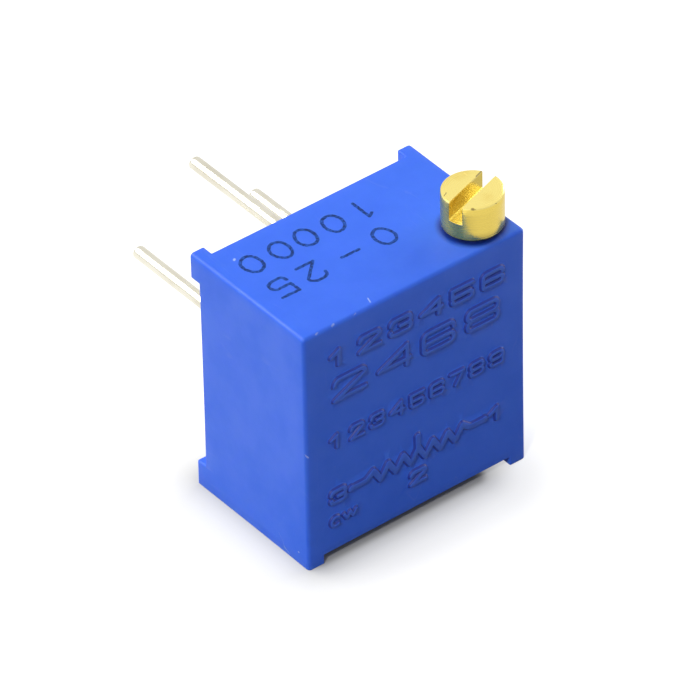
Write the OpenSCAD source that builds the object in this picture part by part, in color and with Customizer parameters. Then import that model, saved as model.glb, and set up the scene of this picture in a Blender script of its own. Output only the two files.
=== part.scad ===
// Square multi-turn trimmer potentiometer with a top adjustment screw, millimetres.
// X runs along the marked face, Y from that face to the pins, Z up from the rails.
// The marked face and the pins lie the same distance either side of the origin.

/* [Housing] */
// Width across the marked face
body_w = 9.53; // [9.3:0.01:10.5]
// Height from the underside of the rails to the top face
body_h = 10.03; // [9.9:0.01:11.2]
// Depth from the marked face to the rim on the pin side
body_d = 5.69; // [5.4:0.01:6.6]
// Rounding of the outer edges
edge_r = 0.12; // [0.05:0.01:0.2]
// Wall around the recess on the pin side
side_wall = 0.45; // [0.36:0.01:0.5]
// Corner radius of the recess on the pin side
recess_r = 1.05; // [0.8:0.01:1.3]
// Depth of the ledge that carries the ceramic base, from the marked face
ledge_y = 2.75; // [2.6:0.01:3]
// Width of each rail under the housing
rail_w = 0.69; // [0.5:0.01:0.9]
// Height of the rails
rail_h = 0.38; // [0.2:0.01:0.5]
// Width of each corner foot on the pin side
foot_w = 0.585; // [0.45:0.005:0.7]
// Height of each corner foot on the pin side
foot_h = 1.05; // [0.8:0.01:1.2]
// How far the corner feet stand out from the rim
foot_d = 0.455; // [0.3:0.005:0.6]

/* [Adjustment screw] */
// Distance of the screw axis from the side face
screw_inset_x = 1.24; // [1.2:0.01:1.4]
// Distance of the screw axis from the marked face
screw_inset_y = 1.27; // [1.2:0.01:1.4]
// Radius of the slotted head
head_r = 1.095; // [0.95:0.005:1.15]
// Height of the slotted head
head_h = 1.39; // [1.2:0.01:1.6]
// Gap between the head and the top face
head_gap = 0.13; // [0.08:0.01:0.2]
// Chamfer round the top of the head
head_chamfer = 0.07; // [0.03:0.01:0.12]
// Width of the driver slot
slot_w = 0.53; // [0.4:0.01:0.6]
// Depth of the driver slot
slot_depth = 0.75; // [0.5:0.01:0.9]
// Direction of the driver slot at rest, turned from the X axis
slot_turn = 18.5; // [0:0.5:90]
// Radius of the neck under the head
neck_r = 0.6; // [0.5:0.01:0.65]
// Radius of the collars that guide the screw
collar_r = 0.74; // [0.735:0.005:0.78]
// Radial clearance of the collars in their bore
collar_fit = 0.04; // [0.02:0.01:0.06]
// Radius of the lower pivot
pivot_r = 0.36; // [0.3:0.01:0.38]
// Length of the lower pivot
pivot_l = 0.55; // [0.4:0.01:0.7]
// Wall under the pivot bore
floor_wall = 0.5; // [0.35:0.01:0.7]
// Clearance of every running fit that has none of its own
run_gap = 0.05; // [0.03:0.01:0.06]

/* [Seal ring and clip] */
// Depth of the seal ring below the top face
ring_depth = 0.85; // [0.7:0.01:0.95]
// Thickness of the seal ring
ring_t = 0.26; // [0.2:0.01:0.28]
// Clearance of the seal ring on its groove and in the bore
ring_fit = 0.01; // [0.01:0.005:0.02]
// Depth of the retaining clip below the top face
clip_depth = 1.65; // [1.55:0.01:1.8]
// Thickness of the retaining clip
clip_t = 0.25; // [0.2:0.01:0.3]
// Width of each prong of the retaining clip
prong_w = 0.3; // [0.25:0.01:0.32]
// Radius of the screw where the clip holds it
clip_groove_r = 0.42; // [0.38:0.01:0.43]
// Clearance of the clip in the housing
clip_fit = 0.02; // [0.01:0.01:0.03]

/* [Worm drive] */
// Teeth on the wheel, which is also the number of screw turns for one wheel turn
teeth = 30; // [28:1:34]
// Pitch radius of the worm
worm_pitch_r = 0.6; // [0.58:0.01:0.62]
// Height of the worm thread above its pitch radius
addendum = 0.12; // [0.1:0.01:0.13]
// Extra depth below the mating tooth
root_gap = 0.03; // [0.02:0.01:0.05]
// Flank angle of the worm thread
flank = 20; // [16:1:25]
// Play between the worm and the wheel along the pitch line
backlash = 0.06; // [0.04:0.01:0.1]
// Height of the wheel's axis above the underside of the rails
wheel_z = 5.2; // [5:0.01:5.4]
// Thickness of the wheel
wheel_t = 0.9; // [0.7:0.01:1]
// Gap around the wheel in its chamber
chamber_gap = 0.1; // [0.06:0.01:0.2]
// Radius of the post that the wheel turns on
post_r = 0.6; // [0.5:0.01:0.65]
// Radial clearance of the wheel on its post
post_fit = 0.04; // [0.02:0.01:0.06]
// How far the post stands past the wheel
post_over = 0.25; // [0.15:0.01:0.35]
// Travel of the wheel to each side of its middle place
wheel_travel = 150; // [120:1:150]
// Spare travel before the wheel meets its stop
stop_spare = 1; // [0.5:0.5:3]
// Wall of the wheel's hub inside the stop groove
hub_w = 0.36; // [0.3:0.01:0.6]
// Wall of the wheel's rim outside the stop groove
rim_w = 0.62; // [0.5:0.01:0.8]
// Depth of the stop groove in the wheel
stop_depth = 0.45; // [0.35:0.01:0.55]

/* [Ceramic base and films] */
// Thickness of the ceramic base
base_t = 0.7; // [0.5:0.01:0.9]
// Clearance round the ceramic base
base_fit = 0.03; // [0.02:0.01:0.05]
// Thickness of the printed films
film_t = 0.03; // [0.02:0.01:0.05]
// Middle radius of the resistive track
track_r = 1.85; // [1.8:0.01:1.88]
// Width of the resistive track
track_w = 0.5; // [0.4:0.01:0.55]
// Sweep of each silver end under the track
end_sweep = 8; // [6:1:12]
// Middle radius of the collector ring
collector_r = 0.95; // [0.9:0.01:1]
// Width of the collector ring
collector_w = 0.4; // [0.3:0.01:0.5]
// Width of the silver leads
lead_w = 0.3; // [0.25:0.01:0.35]
// Gap between a silver lead and the track beside it
lead_gap = 0.12; // [0.08:0.01:0.15]
// Clearance of the films in the ledge
film_fit = 0.05; // [0.03:0.01:0.1]
// Radius of the silver pads at the pins
pad_r = 0.36; // [0.3:0.01:0.4]

/* [Wiper] */
// Thickness of the wiper metal
wiper_t = 0.1; // [0.06:0.01:0.12]
// Width of each wiper arm
arm_w = 0.5; // [0.4:0.01:0.6]
// Width of the slit that splits each arm
slit_w = 0.06; // [0.04:0.01:0.1]
// Outer radius of the wiper plate
plate_r = 1.45; // [1.35:0.01:1.5]
// Radius of the rounded contact at the end of each arm
contact_r = 0.12; // [0.1:0.01:0.15]
// Gap left between the contacts and the films
contact_gap = 0.02; // [0.01:0.01:0.03]
// Radius of the two rivets that hold the wiper
rivet_r = 0.14; // [0.1:0.01:0.15]

/* [Pins] */
// Radius of the pins
pin_r = 0.255; // [0.2:0.005:0.3]
// Length of the pins beyond the corner feet
pin_l = 6; // [4:0.1:8]
// Chamfer at the tip of the pins
pin_chamfer = 0.05; // [0.02:0.01:0.1]
// Width of the squared shank that anchors each pin
shank_w = 0.4; // [0.3:0.01:0.5]
// Spacing of the pins
pin_pitch = 2.54; // [2.5:0.01:2.6]
// Height of the outer pins above the underside of the rails
pin_z = 5.5; // [5.4:0.01:5.6]
// Radius of the solder ring at the ceramic base
solder_r = 0.5; // [0.4:0.01:0.6]
// Length of the solder ring along the pin
solder_h = 0.4; // [0.3:0.01:0.6]
// Solder left round the shank at the thin end of the ring
solder_land = 0.06; // [0.04:0.01:0.1]
// Depth of the potting surface below the rim
potting_depth = 0.3; // [0.1:0.01:0.5]

/* [Raised marks] */
// Height of the raised marks
mark_h = 0.09; // [0.05:0.01:0.12]
// Stroke of the raised marks
mark_stroke = 0.2; // [0.15:0.01:0.22]
// Width of a digit in the rows of numbers, as a share of the distance between digits
digit_share = 0.8; // [0.7:0.01:0.84]
// Height of the first row of numbers above the underside of the rails
first_z = 8.63; // [8.5:0.01:8.8]
// Size of the first row's digits
first_size = 0.8; // [0.7:0.01:0.85]
// Distance of the first row's end digits from the side faces
first_inset = 1.45; // [1.3:0.01:1.6]
// Height of the second row of numbers above the underside of the rails
second_z = 7.26; // [7.2:0.01:7.35]
// Size of the second row's digits
second_size = 1.04; // [0.9:0.01:1.1]
// Distance of the second row's end digits from the side faces
second_inset = 1.9; // [1.7:0.01:2.1]
// Height of the third row of numbers above the underside of the rails
third_z = 5.1; // [5:0.01:5.2]
// Size of the third row's digits
third_size = 0.68; // [0.62:0.01:0.74]
// Distance of the third row's end digits from the side faces
third_inset = 1.3; // [1.2:0.01:1.4]
// Stroke of the third row's digits
third_stroke = 0.16; // [0.12:0.01:0.17]
// Height of the circuit sign above the underside of the rails
circuit_z = 2.72; // [2.6:0.01:2.9]
// Stroke of the circuit sign
circuit_stroke = 0.26; // [0.2:0.01:0.3]
// Rise of the circuit sign's peaks
circuit_rise = 0.22; // [0.18:0.01:0.25]
// Height of the sliding contact's line over the middle of the circuit sign
circuit_tap = 0.9; // [0.6:0.01:1]
// Size of the terminal numbers
terminal_size = 0.7; // [0.6:0.01:0.75]
// Distance of the outer terminal numbers from the side faces
terminal_inset = 1.3; // [1.2:0.005:1.4]
// Height of the lowest line of marks above the underside of the rails
lower_z = 1.74; // [1.6:0.01:1.76]

/* [Hidden] */
$fn = 48;

// Small sinking of a form into the one that carries it, so that they join
sink = 0.1;
// Room for cuts to run past the material
past = 1;

// Places along Y, from the marked face
feet_y = body_d + foot_d;
tip_y = feet_y + pin_l;
wheel_front = screw_inset_y - wheel_t / 2;
wheel_back = screw_inset_y + wheel_t / 2;
chamber_floor = wheel_front - run_gap;
base_back = ledge_y + base_t;
film_y = ledge_y - film_t;
potting_y = body_d - potting_depth;
front_y = (mark_h - tip_y) / 2;
shank_hole_r = shank_w / sqrt(2) + base_fit;
solder_tip_w = shank_w + 2 * solder_land;

// The screw and the wheel
screw_x = body_w / 2 - screw_inset_x;
bore_r = collar_r + collar_fit;
wheel_pitch_r = screw_x - worm_pitch_r;
thread_pitch = 2 * PI * wheel_pitch_r / teeth;
lead_angle = atan(thread_pitch / (2 * PI * worm_pitch_r));
worm_r = worm_pitch_r + addendum;
worm_root_r = worm_pitch_r - addendum - root_gap;
wheel_tip_r = wheel_pitch_r + addendum;
wheel_root_r = wheel_pitch_r - addendum - root_gap;
chamber_r = wheel_tip_r + chamber_gap;
thread_half = (thread_pitch - backlash) / 4;

// Places of the screw's features along Z
pivot_bottom = rail_h + floor_wall + run_gap;
bore_bottom = pivot_bottom + pivot_l;
ring_z = body_h - ring_depth;
ring_groove_r = bore_r - ring_t - 2 * ring_fit;
ring_groove_h = ring_t + 2 * run_gap;
clip_z = body_h - clip_depth;
clip_groove_h = clip_t + 2 * run_gap;
head_z = body_h + head_gap;
head_top = head_z + head_h;
collar_l = 0.2;
thread_z0 = bore_bottom + run_gap;
thread_z1 = clip_z - clip_groove_h / 2 - collar_l / 2;

// The clip's prongs stand either side of its groove
prong_in = clip_groove_r + run_gap;
prong_out = prong_in + prong_w;
prong_y0 = screw_inset_y - clip_groove_r;
clip_bridge_y = screw_inset_y + prong_in;
clip_back_y = ledge_y - clip_fit;

// The stop on the chamber floor and the lug in the wheel fill what the travel leaves
stop_half = (180 - wheel_travel - stop_spare) / 2;
stop_h = stop_depth - run_gap;
stop_in_r = post_r + post_fit + hub_w;
stop_out_r = wheel_root_r - rim_w;

// The films, as angles from X towards Z round the wheel's axis
gap_half = 180 - wheel_travel - end_sweep / 2;
lead_r = track_r + track_w / 2 + lead_gap;
track_in = track_r - track_w / 2;
track_out = track_r + track_w / 2;

// The marks, from the middle of the marked face
FIRST_ROW = [1, 2, 3, 4, 5, 6];
SECOND_ROW = [2, 4, 6, 8];
THIRD_ROW = [1, 2, 3, 4, 5, 6, 7, 8, 9];
terminal_w = 1.15 * terminal_size;
terminal_x = body_w / 2 - terminal_inset;
circuit_half = terminal_x - terminal_w / 2 - 0.6 * circuit_stroke;
coil_half = 0.78 * circuit_half;
coil_peaks = 7;

// Place across and height of each pin
PINS = [[pin_pitch, pin_z], [0, pin_z + pin_pitch], [-pin_pitch, pin_z]];

// Turns a shape drawn in X and Z towards Y, starting at y and t deep
module plate(y, t) {
    translate([0, front_y + y + t, 0]) rotate([90, 0, 0]) linear_extrude(height = t) children();
}

// The same, drawn from the wheel's axis
module wheel_plate(y, t) {
    plate(y, t) translate([0, wheel_z]) children();
}

module round_rect(w, h, r) {
    square([w - 2 * r, h], center = true);
    square([w, h - 2 * r], center = true);
    for (x = [-1, 1], y = [-1, 1]) translate([x * (w / 2 - r), y * (h / 2 - r)]) circle(r);
}

// A wedge that opens from one angle to another, less than a half turn wide
module wedge(r, a0, a1) {
    reach = r / cos((a1 - a0) / 4);
    polygon(concat([[0, 0]], [for (a = [a0, (a0 + a1) / 2, a1]) reach * [cos(a), sin(a)]]));
}

// A flat arc between two radii and two angles, less than a half turn wide
module arc_band(r0, r1, a0, a1) {
    intersection() {
        difference() {
            circle(r1);
            circle(r0);
        }
        wedge(r1 + past, a0, a1);
    }
}

// Outline of the recess, shared by the housing and what fills it
module recess_outline(inset) {
    w = body_w - 2 * (side_wall + inset);
    h = body_h - rail_h - 2 * (side_wall + inset);
    translate([0, (body_h + rail_h) / 2]) round_rect(w, h, recess_r - inset);
}

// Raised marks

// A bar of width w and height h with round ends, around the origin
module round_bar(w, h) {
    q = min(w, h) / 2;
    if (w > h) square([w - h, h], center = true);
    if (h > w) square([w, h - w], center = true);
    for (x = w > h ? [q - w / 2, w / 2 - q] : [0], y = h > w ? [q - h / 2, h / 2 - q] : [0])
        translate([x, y]) circle(q);
}

// The outline of one bowl of a digit, around the origin
module bowl(w, h, s) {
    difference() {
        round_bar(w, h);
        round_bar(w - 2 * s, h - 2 * s);
    }
}

// The upper half of a bowl, on the origin
module arch(w, h, s) {
    intersection() {
        bowl(w, h, s);
        translate([-w / 2, 0]) square([w, h / 2]);
    }
}

// A straight stroke between two points
module slant(a, b, s) {
    n = [a[1] - b[1], b[0] - a[0]] / norm(b - a) * s / 2;
    polygon([a + n, b + n, b - n, a - n]);
}

// A plain digit of width w, height h and stroke s, with its lower left corner at the origin
module digit(d, w, h, s) {
    // Height of a bowl, and the middle of the upper one
    b = (h + s) / 2;
    up = h - b / 2;
    m = w / 2;
    if (d == 0) translate([m, h / 2]) bowl(w, h, s);
    if (d == 1) {
        translate([m - s / 2, 0]) square([s, h]);
        slant([m, h - s / 2], [m - 1.6 * s, h - 1.5 * s], s);
    }
    if (d == 2) {
        translate([m, up]) arch(w, b, s);
        translate([w - s / 2, up]) circle(0.47 * s);
        slant([w - s / 2, up], [s / 2, s / 2], s);
        square([w, s]);
    }
    if (d == 3 || d == 8) {
        difference() {
            translate([m, b / 2]) bowl(w, b, s);
            if (d == 3) translate([0, b / 2]) square([m, b / 2]);
        }
        difference() {
            translate([m, up]) bowl(w, b, s);
            if (d == 3) translate([0, up - b / 2]) square([m, b / 2]);
        }
    }
    if (d == 4) {
        translate([w - 1.6 * s, 0]) square([s, h]);
        translate([0, 1.2 * s]) square([w, s]);
        slant([w - 1.1 * s, h - s / 2], [s / 2, 1.7 * s], s);
    }
    if (d == 5) {
        translate([0, h - s]) square([w, s]);
        translate([0, b - s]) square([s, h - b + s]);
        translate([0, b - s]) square([m, s]);
        difference() {
            translate([m, b / 2]) bowl(w, b, s);
            translate([0, b / 2]) square([m, b / 2]);
        }
    }
    if (d == 6) {
        translate([m, b / 2]) bowl(w, b, s);
        translate([0, b / 2]) square([s, h - b]);
        translate([m, up]) arch(w, b, s);
    }
    if (d == 7) {
        translate([0, h - s]) square([w, s]);
        slant([w - s / 2, h - s / 2], [0.4 * w, s / 2], s);
    }
    if (d == 9) translate([w, h]) rotate(180) digit(6, w, h, s);
}

// A row of single digits over the width of the marked face
module number_row(digits, inset, z, h, s) {
    pitch = (body_w - 2 * inset) / (len(digits) - 1);
    w = digit_share * pitch;
    for (i = [0 : len(digits) - 1])
        translate([inset - body_w / 2 + i * pitch - w / 2, z - h / 2]) digit(digits[i], w, h, s);
}

// One digit around the origin
module terminal_number(d) {
    translate([-terminal_w / 2, -terminal_size / 2]) digit(d, terminal_w, terminal_size, mark_stroke);
}

// A band along a line of points, as wide as the shift to each side
module band(line, shift) {
    polygon(concat(
        [for (p = line) p + shift],
        [for (i = [len(line) - 1 : -1 : 0]) line[i] - shift]
    ));
}

// A zigzag line along X from -half to half
module zigzag(half, peaks, rise, s) {
    step = half / peaks;
    band([for (i = [0 : 2 * peaks])
        [-half + i * step, i == 0 || i == 2 * peaks ? 0 : (i % 2 == 1 ? rise : -rise)]],
        [0, 0.8 * s]);
}

// The letters of the turning direction
module clockwise_sign(h, s) {
    difference() {
        translate([h / 2, h / 2]) bowl(h, h, s);
        translate([h / 2 + s / 2, s]) square([h / 2, h - 2 * s]);
    }
    translate([1.2 * h, 0])
        band([for (i = [0 : 4]) [i * h / 4, i % 2 == 1 ? s : (i == 2 ? 0.7 * h : h - s)]], [0, s]);
}

module number_marks() {
    number_row(FIRST_ROW, first_inset, first_z, first_size, mark_stroke);
    number_row(SECOND_ROW, second_inset, second_z, second_size, mark_stroke);
    number_row(THIRD_ROW, third_inset, third_z, third_size, third_stroke);
}

module circuit_marks() {
    s = circuit_stroke;
    translate([0, circuit_z]) {
        zigzag(coil_half, coil_peaks, circuit_rise, s);
        for (x = [-1, 1]) {
            translate([x * circuit_half, 0]) circle(0.6 * s);
            translate([x * (circuit_half + coil_half) / 2, 0])
                square([circuit_half - coil_half + s, s], center = true);
        }
        // Line of the sliding contact
        translate([-s / 2, circuit_rise]) square([s, circuit_tap - circuit_rise]);
    }
    translate([terminal_x, circuit_z]) terminal_number(1);
    translate([0, lower_z]) terminal_number(2);
    translate([-terminal_x, circuit_z]) terminal_number(3);
    translate([-terminal_x - terminal_w / 2, lower_z - terminal_size / 2])
        clockwise_sign(0.75 * terminal_size, 0.8 * mark_stroke);
}

// Moulded housing

module housing_envelope() {
    mid_y = front_y + feet_y / 2;
    intersection() {
        translate([0, front_y + feet_y, body_h / 2]) rotate([90, 0, 0])
            linear_extrude(height = feet_y) round_rect(body_w, body_h, edge_r);
        translate([0, mid_y, 0])
            linear_extrude(height = body_h) round_rect(body_w, feet_y, edge_r);
        translate([-body_w / 2, mid_y, body_h / 2]) rotate([90, 0, 90])
            linear_extrude(height = body_w) round_rect(feet_y, body_h, edge_r);
    }
}

// Everything between the corner feet behind the rim
module feet_gaps() {
    plate(body_d, foot_d + past) {
        translate([-body_w / 2 + foot_w, -past]) square([body_w - 2 * foot_w, body_h + 2 * past]);
        translate([-body_w / 2 - past, foot_h])
            square([body_w + 2 * past, body_h - 2 * foot_h]);
    }
}

// The place between the rails
module rail_gap() {
    plate(-past, feet_y + 2 * past)
        translate([-body_w / 2 + rail_w, -past]) square([body_w - 2 * rail_w, rail_h + past]);
}

module screw_bores() {
    translate([screw_x, front_y + screw_inset_y, 0]) {
        translate([0, 0, bore_bottom]) cylinder(r = bore_r, h = body_h);
        translate([0, 0, pivot_bottom - run_gap])
            cylinder(r = pivot_r + post_fit, h = bore_bottom);
    }
}

// Relief in the ledge round the films on the ceramic base
module film_room() {
    wheel_plate(film_y - film_fit, film_t + film_fit + sink) {
        circle(lead_r + lead_w + film_fit);
        for (p = PINS) translate([p[0], p[1] - wheel_z]) circle(pad_r + film_fit);
    }
}

// Pocket that the retaining clip is pushed into from the recess
module clip_pocket() {
    half = prong_out + clip_fit;
    translate([screw_x - half, front_y + prong_y0 - clip_fit, clip_z - clip_t / 2 - clip_fit])
        cube([2 * half, ledge_y - prong_y0 + 2 * clip_fit, clip_t + 2 * clip_fit]);
}

module housing() {
    color([0.13, 0.29, 0.78]) {
        difference() {
            housing_envelope();
            feet_gaps();
            rail_gap();
            plate(ledge_y, feet_y) recess_outline(0);
            wheel_plate(chamber_floor, feet_y) circle(chamber_r);
            film_room();
            screw_bores();
            clip_pocket();
        }
        wheel_plate(chamber_floor - sink, wheel_back + post_over - chamber_floor + sink)
            circle(post_r);
        wheel_plate(chamber_floor - sink, stop_h + sink)
            arc_band(stop_in_r + run_gap, stop_out_r - run_gap, 90 - stop_half, 90 + stop_half);
        plate(-mark_h, mark_h + sink) number_marks();
        plate(-mark_h, mark_h + sink) circuit_marks();
    }
}

// Turned screw

// One cut through the thread: the crest, two flanks and the root
module thread_section() {
    crest = 360 * (thread_half - addendum * tan(flank)) / thread_pitch;
    root = 360 * (thread_half + (addendum + root_gap) * tan(flank)) / thread_pitch;
    steps = 5;
    mid = (crest + root) / 2;
    polar = concat(
        [for (i = [0 : steps]) [worm_r, -crest + 2 * crest * i / steps]],
        [[(worm_r + worm_root_r) / 2, mid]],
        [for (i = [0 : steps]) [worm_root_r, root + (360 - 2 * root) * i / steps]],
        [[(worm_r + worm_root_r) / 2, -mid]]
    );
    polygon([for (p = polar) p[0] * [cos(p[1]), sin(p[1])]]);
}

module worm_thread() {
    length = thread_z1 - thread_z0;
    turns = length / thread_pitch;
    translate([0, 0, thread_z0]) rotate([0, 0, 360 * (wheel_z - thread_z0) / thread_pitch])
        linear_extrude(height = length, twist = 360 * turns, slices = round(16 * turns), $fn = 13)
            thread_section();
}

// The turned outline without its thread
module screw_blank() {
    ring_lo = ring_z - ring_groove_h / 2;
    ring_hi = ring_z + ring_groove_h / 2;
    clip_lo = clip_z - clip_groove_h / 2;
    clip_hi = clip_z + clip_groove_h / 2;
    rotate_extrude() polygon([
        [0, pivot_bottom], [pivot_r, pivot_bottom], [pivot_r, clip_lo - collar_l],
        [collar_r, clip_lo - collar_l], [collar_r, clip_lo],
        [clip_groove_r, clip_lo], [clip_groove_r, clip_hi],
        [collar_r, clip_hi], [collar_r, ring_lo],
        [ring_groove_r, ring_lo], [ring_groove_r, ring_hi],
        [collar_r, ring_hi], [collar_r, body_h - sink],
        [neck_r, body_h - sink], [neck_r, head_z],
        [head_r, head_z], [head_r, head_top - head_chamfer],
        [head_r - head_chamfer, head_top], [0, head_top]
    ]);
}

module adjust_screw() {
    color([0.85, 0.65, 0.2]) translate([screw_x, front_y + screw_inset_y, 0]) difference() {
        union() {
            screw_blank();
            worm_thread();
        }
        rotate([0, 0, slot_turn]) translate([-2 * head_r, -slot_w / 2, head_top - slot_depth])
            cube([4 * head_r, slot_w, slot_depth + past]);
    }
}

module screw_oring() {
    color([0.1, 0.1, 0.1]) translate([screw_x, front_y + screw_inset_y, ring_z])
        rotate_extrude() translate([ring_groove_r + ring_fit + ring_t / 2, 0]) circle(ring_t / 2);
}

module retaining_clip() {
    color([0.7, 0.7, 0.72])
    translate([screw_x, front_y, clip_z - clip_t / 2]) linear_extrude(height = clip_t) {
        translate([-prong_out, clip_bridge_y])
            square([2 * prong_out, clip_back_y - clip_bridge_y]);
        for (x = [-prong_out, prong_in])
            translate([x, prong_y0]) square([prong_w, clip_back_y - prong_y0]);
    }
}

// Wheel and wiper

// One straight tooth, leaning by the worm's lead
module tooth(turn) {
    half = thread_half * cos(lead_angle);
    slope = tan(flank - 90 / teeth);
    low = wheel_root_r - sink - wheel_pitch_r;
    high = 2 * addendum;
    rotate([0, turn, 0]) rotate([90 + lead_angle, 0, 0])
        linear_extrude(height = 2 * wheel_t, center = true) polygon([
            [wheel_pitch_r + low, half - low * slope],
            [wheel_pitch_r + high, half - high * slope],
            [wheel_pitch_r + high, high * slope - half],
            [wheel_pitch_r + low, low * slope - half]
        ]);
}

module rotor_gear() {
    color([0.92, 0.91, 0.86]) {
        difference() {
            union() {
                wheel_plate(wheel_front, wheel_t) circle(wheel_root_r);
                intersection() {
                    translate([0, front_y + screw_inset_y, wheel_z])
                        for (i = [0 : teeth - 1]) tooth(i * 360 / teeth);
                    wheel_plate(wheel_front, wheel_t) circle(wheel_tip_r);
                }
            }
            wheel_plate(wheel_front - past, wheel_t + 2 * past) circle(post_r + post_fit);
            wheel_plate(wheel_front - past, stop_depth + past) difference() {
                circle(stop_out_r);
                circle(stop_in_r);
                wedge(stop_out_r + past, 270 - stop_half, 270 + stop_half);
            }
        }
        // Rivets formed over the wiper
        for (x = [-1, 1]) wheel_plate(wheel_back - sink, sink + 2 * wiper_t)
            translate([x * (plate_r + collector_r) / 2, 0]) circle(rivet_r);
    }
}

// An arm from the plate to a contact, as a strip bent in a plane through the wheel's axis
module wiper_arm(root, tip, fingers) {
    y0 = front_y + wheel_back;
    y1 = front_y + film_y - contact_gap - contact_r;
    half = wiper_t / 2 * norm([y1 - y0, tip - root]) / (y1 - y0);
    difference() {
        translate([-arm_w / 2, 0, 0]) rotate([90, 0, 90]) linear_extrude(height = arm_w) {
            polygon([[y0, root - half], [y0, root + half], [y1, tip + half], [y1, tip - half]]);
            translate([y1, tip]) circle(contact_r);
        }
        for (i = [1 : fingers - 1])
            translate([-arm_w / 2 + i * arm_w / fingers - slit_w / 2, y0 + 2 * wiper_t, 0])
                cube([slit_w, y1, body_h]);
    }
}

module wiper() {
    color([0.83, 0.72, 0.45]) {
        wheel_plate(wheel_back, wiper_t) difference() {
            circle(plate_r);
            circle(collector_r - collector_w / 2);
            for (x = [-1, 1]) translate([x * (plate_r + collector_r) / 2, 0]) circle(rivet_r);
        }
        translate([0, 0, wheel_z]) {
            wiper_arm(plate_r - wiper_t, collector_r, 2);
            mirror([0, 0, 1]) wiper_arm(collector_r, track_r, 3);
        }
    }
}

// Ceramic base, films and pins

module ceramic_base() {
    color([0.93, 0.92, 0.88]) plate(ledge_y, base_t) difference() {
        recess_outline(base_fit);
        for (p = PINS) translate(p) circle(shank_hole_r);
    }
}

module resistive_track() {
    from = 90 + gap_half + end_sweep;
    sweep = 360 - 2 * (gap_half + end_sweep);
    color([0.12, 0.11, 0.11]) wheel_plate(film_y, film_t) for (i = [0 : 2])
        arc_band(track_in, track_out, from + i * sweep / 3, from + (i + 1) * sweep / 3);
}

// Silver film from one end of the track to its pin; side is 1 on the right and -1 on the left
module end_conductor(side) {
    up = pin_z - wheel_z;
    pin_angle = atan(up / pin_pitch);
    color([0.8, 0.8, 0.8]) wheel_plate(film_y, film_t) mirror([side < 0 ? 1 : 0, 0]) {
        arc_band(track_in, lead_r + lead_w, 90 - gap_half - end_sweep, 90 - gap_half);
        arc_band(lead_r, lead_r + lead_w, pin_angle, 90 - gap_half);
        translate([pin_pitch, up]) circle(pad_r);
    }
}

// Collector ring and its lead through the gap of the track
module conductor_2() {
    up = pin_z + pin_pitch - wheel_z;
    color([0.8, 0.8, 0.8]) wheel_plate(film_y, film_t) {
        difference() {
            circle(collector_r + collector_w / 2);
            circle(collector_r - collector_w / 2);
        }
        translate([-lead_w / 2, collector_r]) square([lead_w, up - collector_r]);
        translate([0, up]) circle(pad_r);
    }
}

module conductor_1() {
    end_conductor(1);
}

module conductor_3() {
    end_conductor(-1);
}

// Sets a shape drawn along Z on a pin's axis, at a depth from the marked face
module at_pin(n, y) {
    translate([PINS[n - 1][0], front_y + y, PINS[n - 1][1]]) rotate([-90, 0, 0]) children();
}

// The squared part of a pin between two depths
module shank(n, y0, y1) {
    at_pin(n, y0) translate([-shank_w / 2, -shank_w / 2, 0]) cube([shank_w, shank_w, y1 - y0]);
}

// The cone of solder before the shank is cut out of it
module solder_cone(n) {
    at_pin(n, base_back) cylinder(r1 = solder_r, r2 = solder_tip_w / sqrt(2), h = solder_h);
}

module pin(n) {
    color([0.78, 0.77, 0.72]) {
        shank(n, ledge_y, potting_y);
        at_pin(n, potting_y) cylinder(r = pin_r, h = tip_y - potting_y - pin_chamfer);
        at_pin(n, tip_y - pin_chamfer)
            cylinder(r1 = pin_r, r2 = pin_r - pin_chamfer, h = pin_chamfer);
    }
}

module solder(n) {
    color([0.7, 0.7, 0.7]) difference() {
        solder_cone(n);
        shank(n, ledge_y, potting_y);
    }
}

module potting() {
    color([0.85, 0.8, 0.66]) difference() {
        plate(base_back, potting_y - base_back) recess_outline(0);
        for (n = [1 : len(PINS)]) {
            shank(n, ledge_y, body_d);
            solder_cone(n);
        }
    }
}

housing();
adjust_screw();
screw_oring();
retaining_clip();
rotor_gear();
wiper();
ceramic_base();
resistive_track();
conductor_1();
conductor_2();
conductor_3();
pin(1);  // pin_1
pin(2);  // pin_2
pin(3);  // pin_3
solder(1);  // solder_1
solder(2);  // solder_2
solder(3);  // solder_3
potting();
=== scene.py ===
# Square multi-turn trimmer potentiometer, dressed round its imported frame.
# Meshes are made in millimetres and turned into metres when they are finished.
from contextlib import contextmanager
import math
import random

import bmesh
import bpy
import numpy as np
from mathutils import Matrix, Vector, noise
from mathutils.geometry import delaunay_2d_cdt


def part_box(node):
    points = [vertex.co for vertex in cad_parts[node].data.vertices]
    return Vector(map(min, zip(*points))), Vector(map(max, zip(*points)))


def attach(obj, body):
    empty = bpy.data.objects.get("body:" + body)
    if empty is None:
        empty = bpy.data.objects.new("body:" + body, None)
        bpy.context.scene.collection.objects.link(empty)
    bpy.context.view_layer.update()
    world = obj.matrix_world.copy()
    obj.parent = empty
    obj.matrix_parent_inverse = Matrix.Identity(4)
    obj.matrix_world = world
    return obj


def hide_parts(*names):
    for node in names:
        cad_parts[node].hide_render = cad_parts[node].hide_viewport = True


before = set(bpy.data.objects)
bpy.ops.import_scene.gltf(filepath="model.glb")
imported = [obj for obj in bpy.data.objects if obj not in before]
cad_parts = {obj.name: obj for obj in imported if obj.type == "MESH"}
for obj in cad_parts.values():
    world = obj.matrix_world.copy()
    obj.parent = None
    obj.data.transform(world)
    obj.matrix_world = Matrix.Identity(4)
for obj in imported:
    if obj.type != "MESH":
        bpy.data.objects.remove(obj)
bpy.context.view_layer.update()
mm = 0.001
weldGap = 1e-5
flatGap = 1e-4
random.seed(7)


def cadBox(node):
    low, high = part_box(node)
    return low / mm, high / mm


# Camera first: it looks down on the corner between the marked face and the left side

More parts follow.
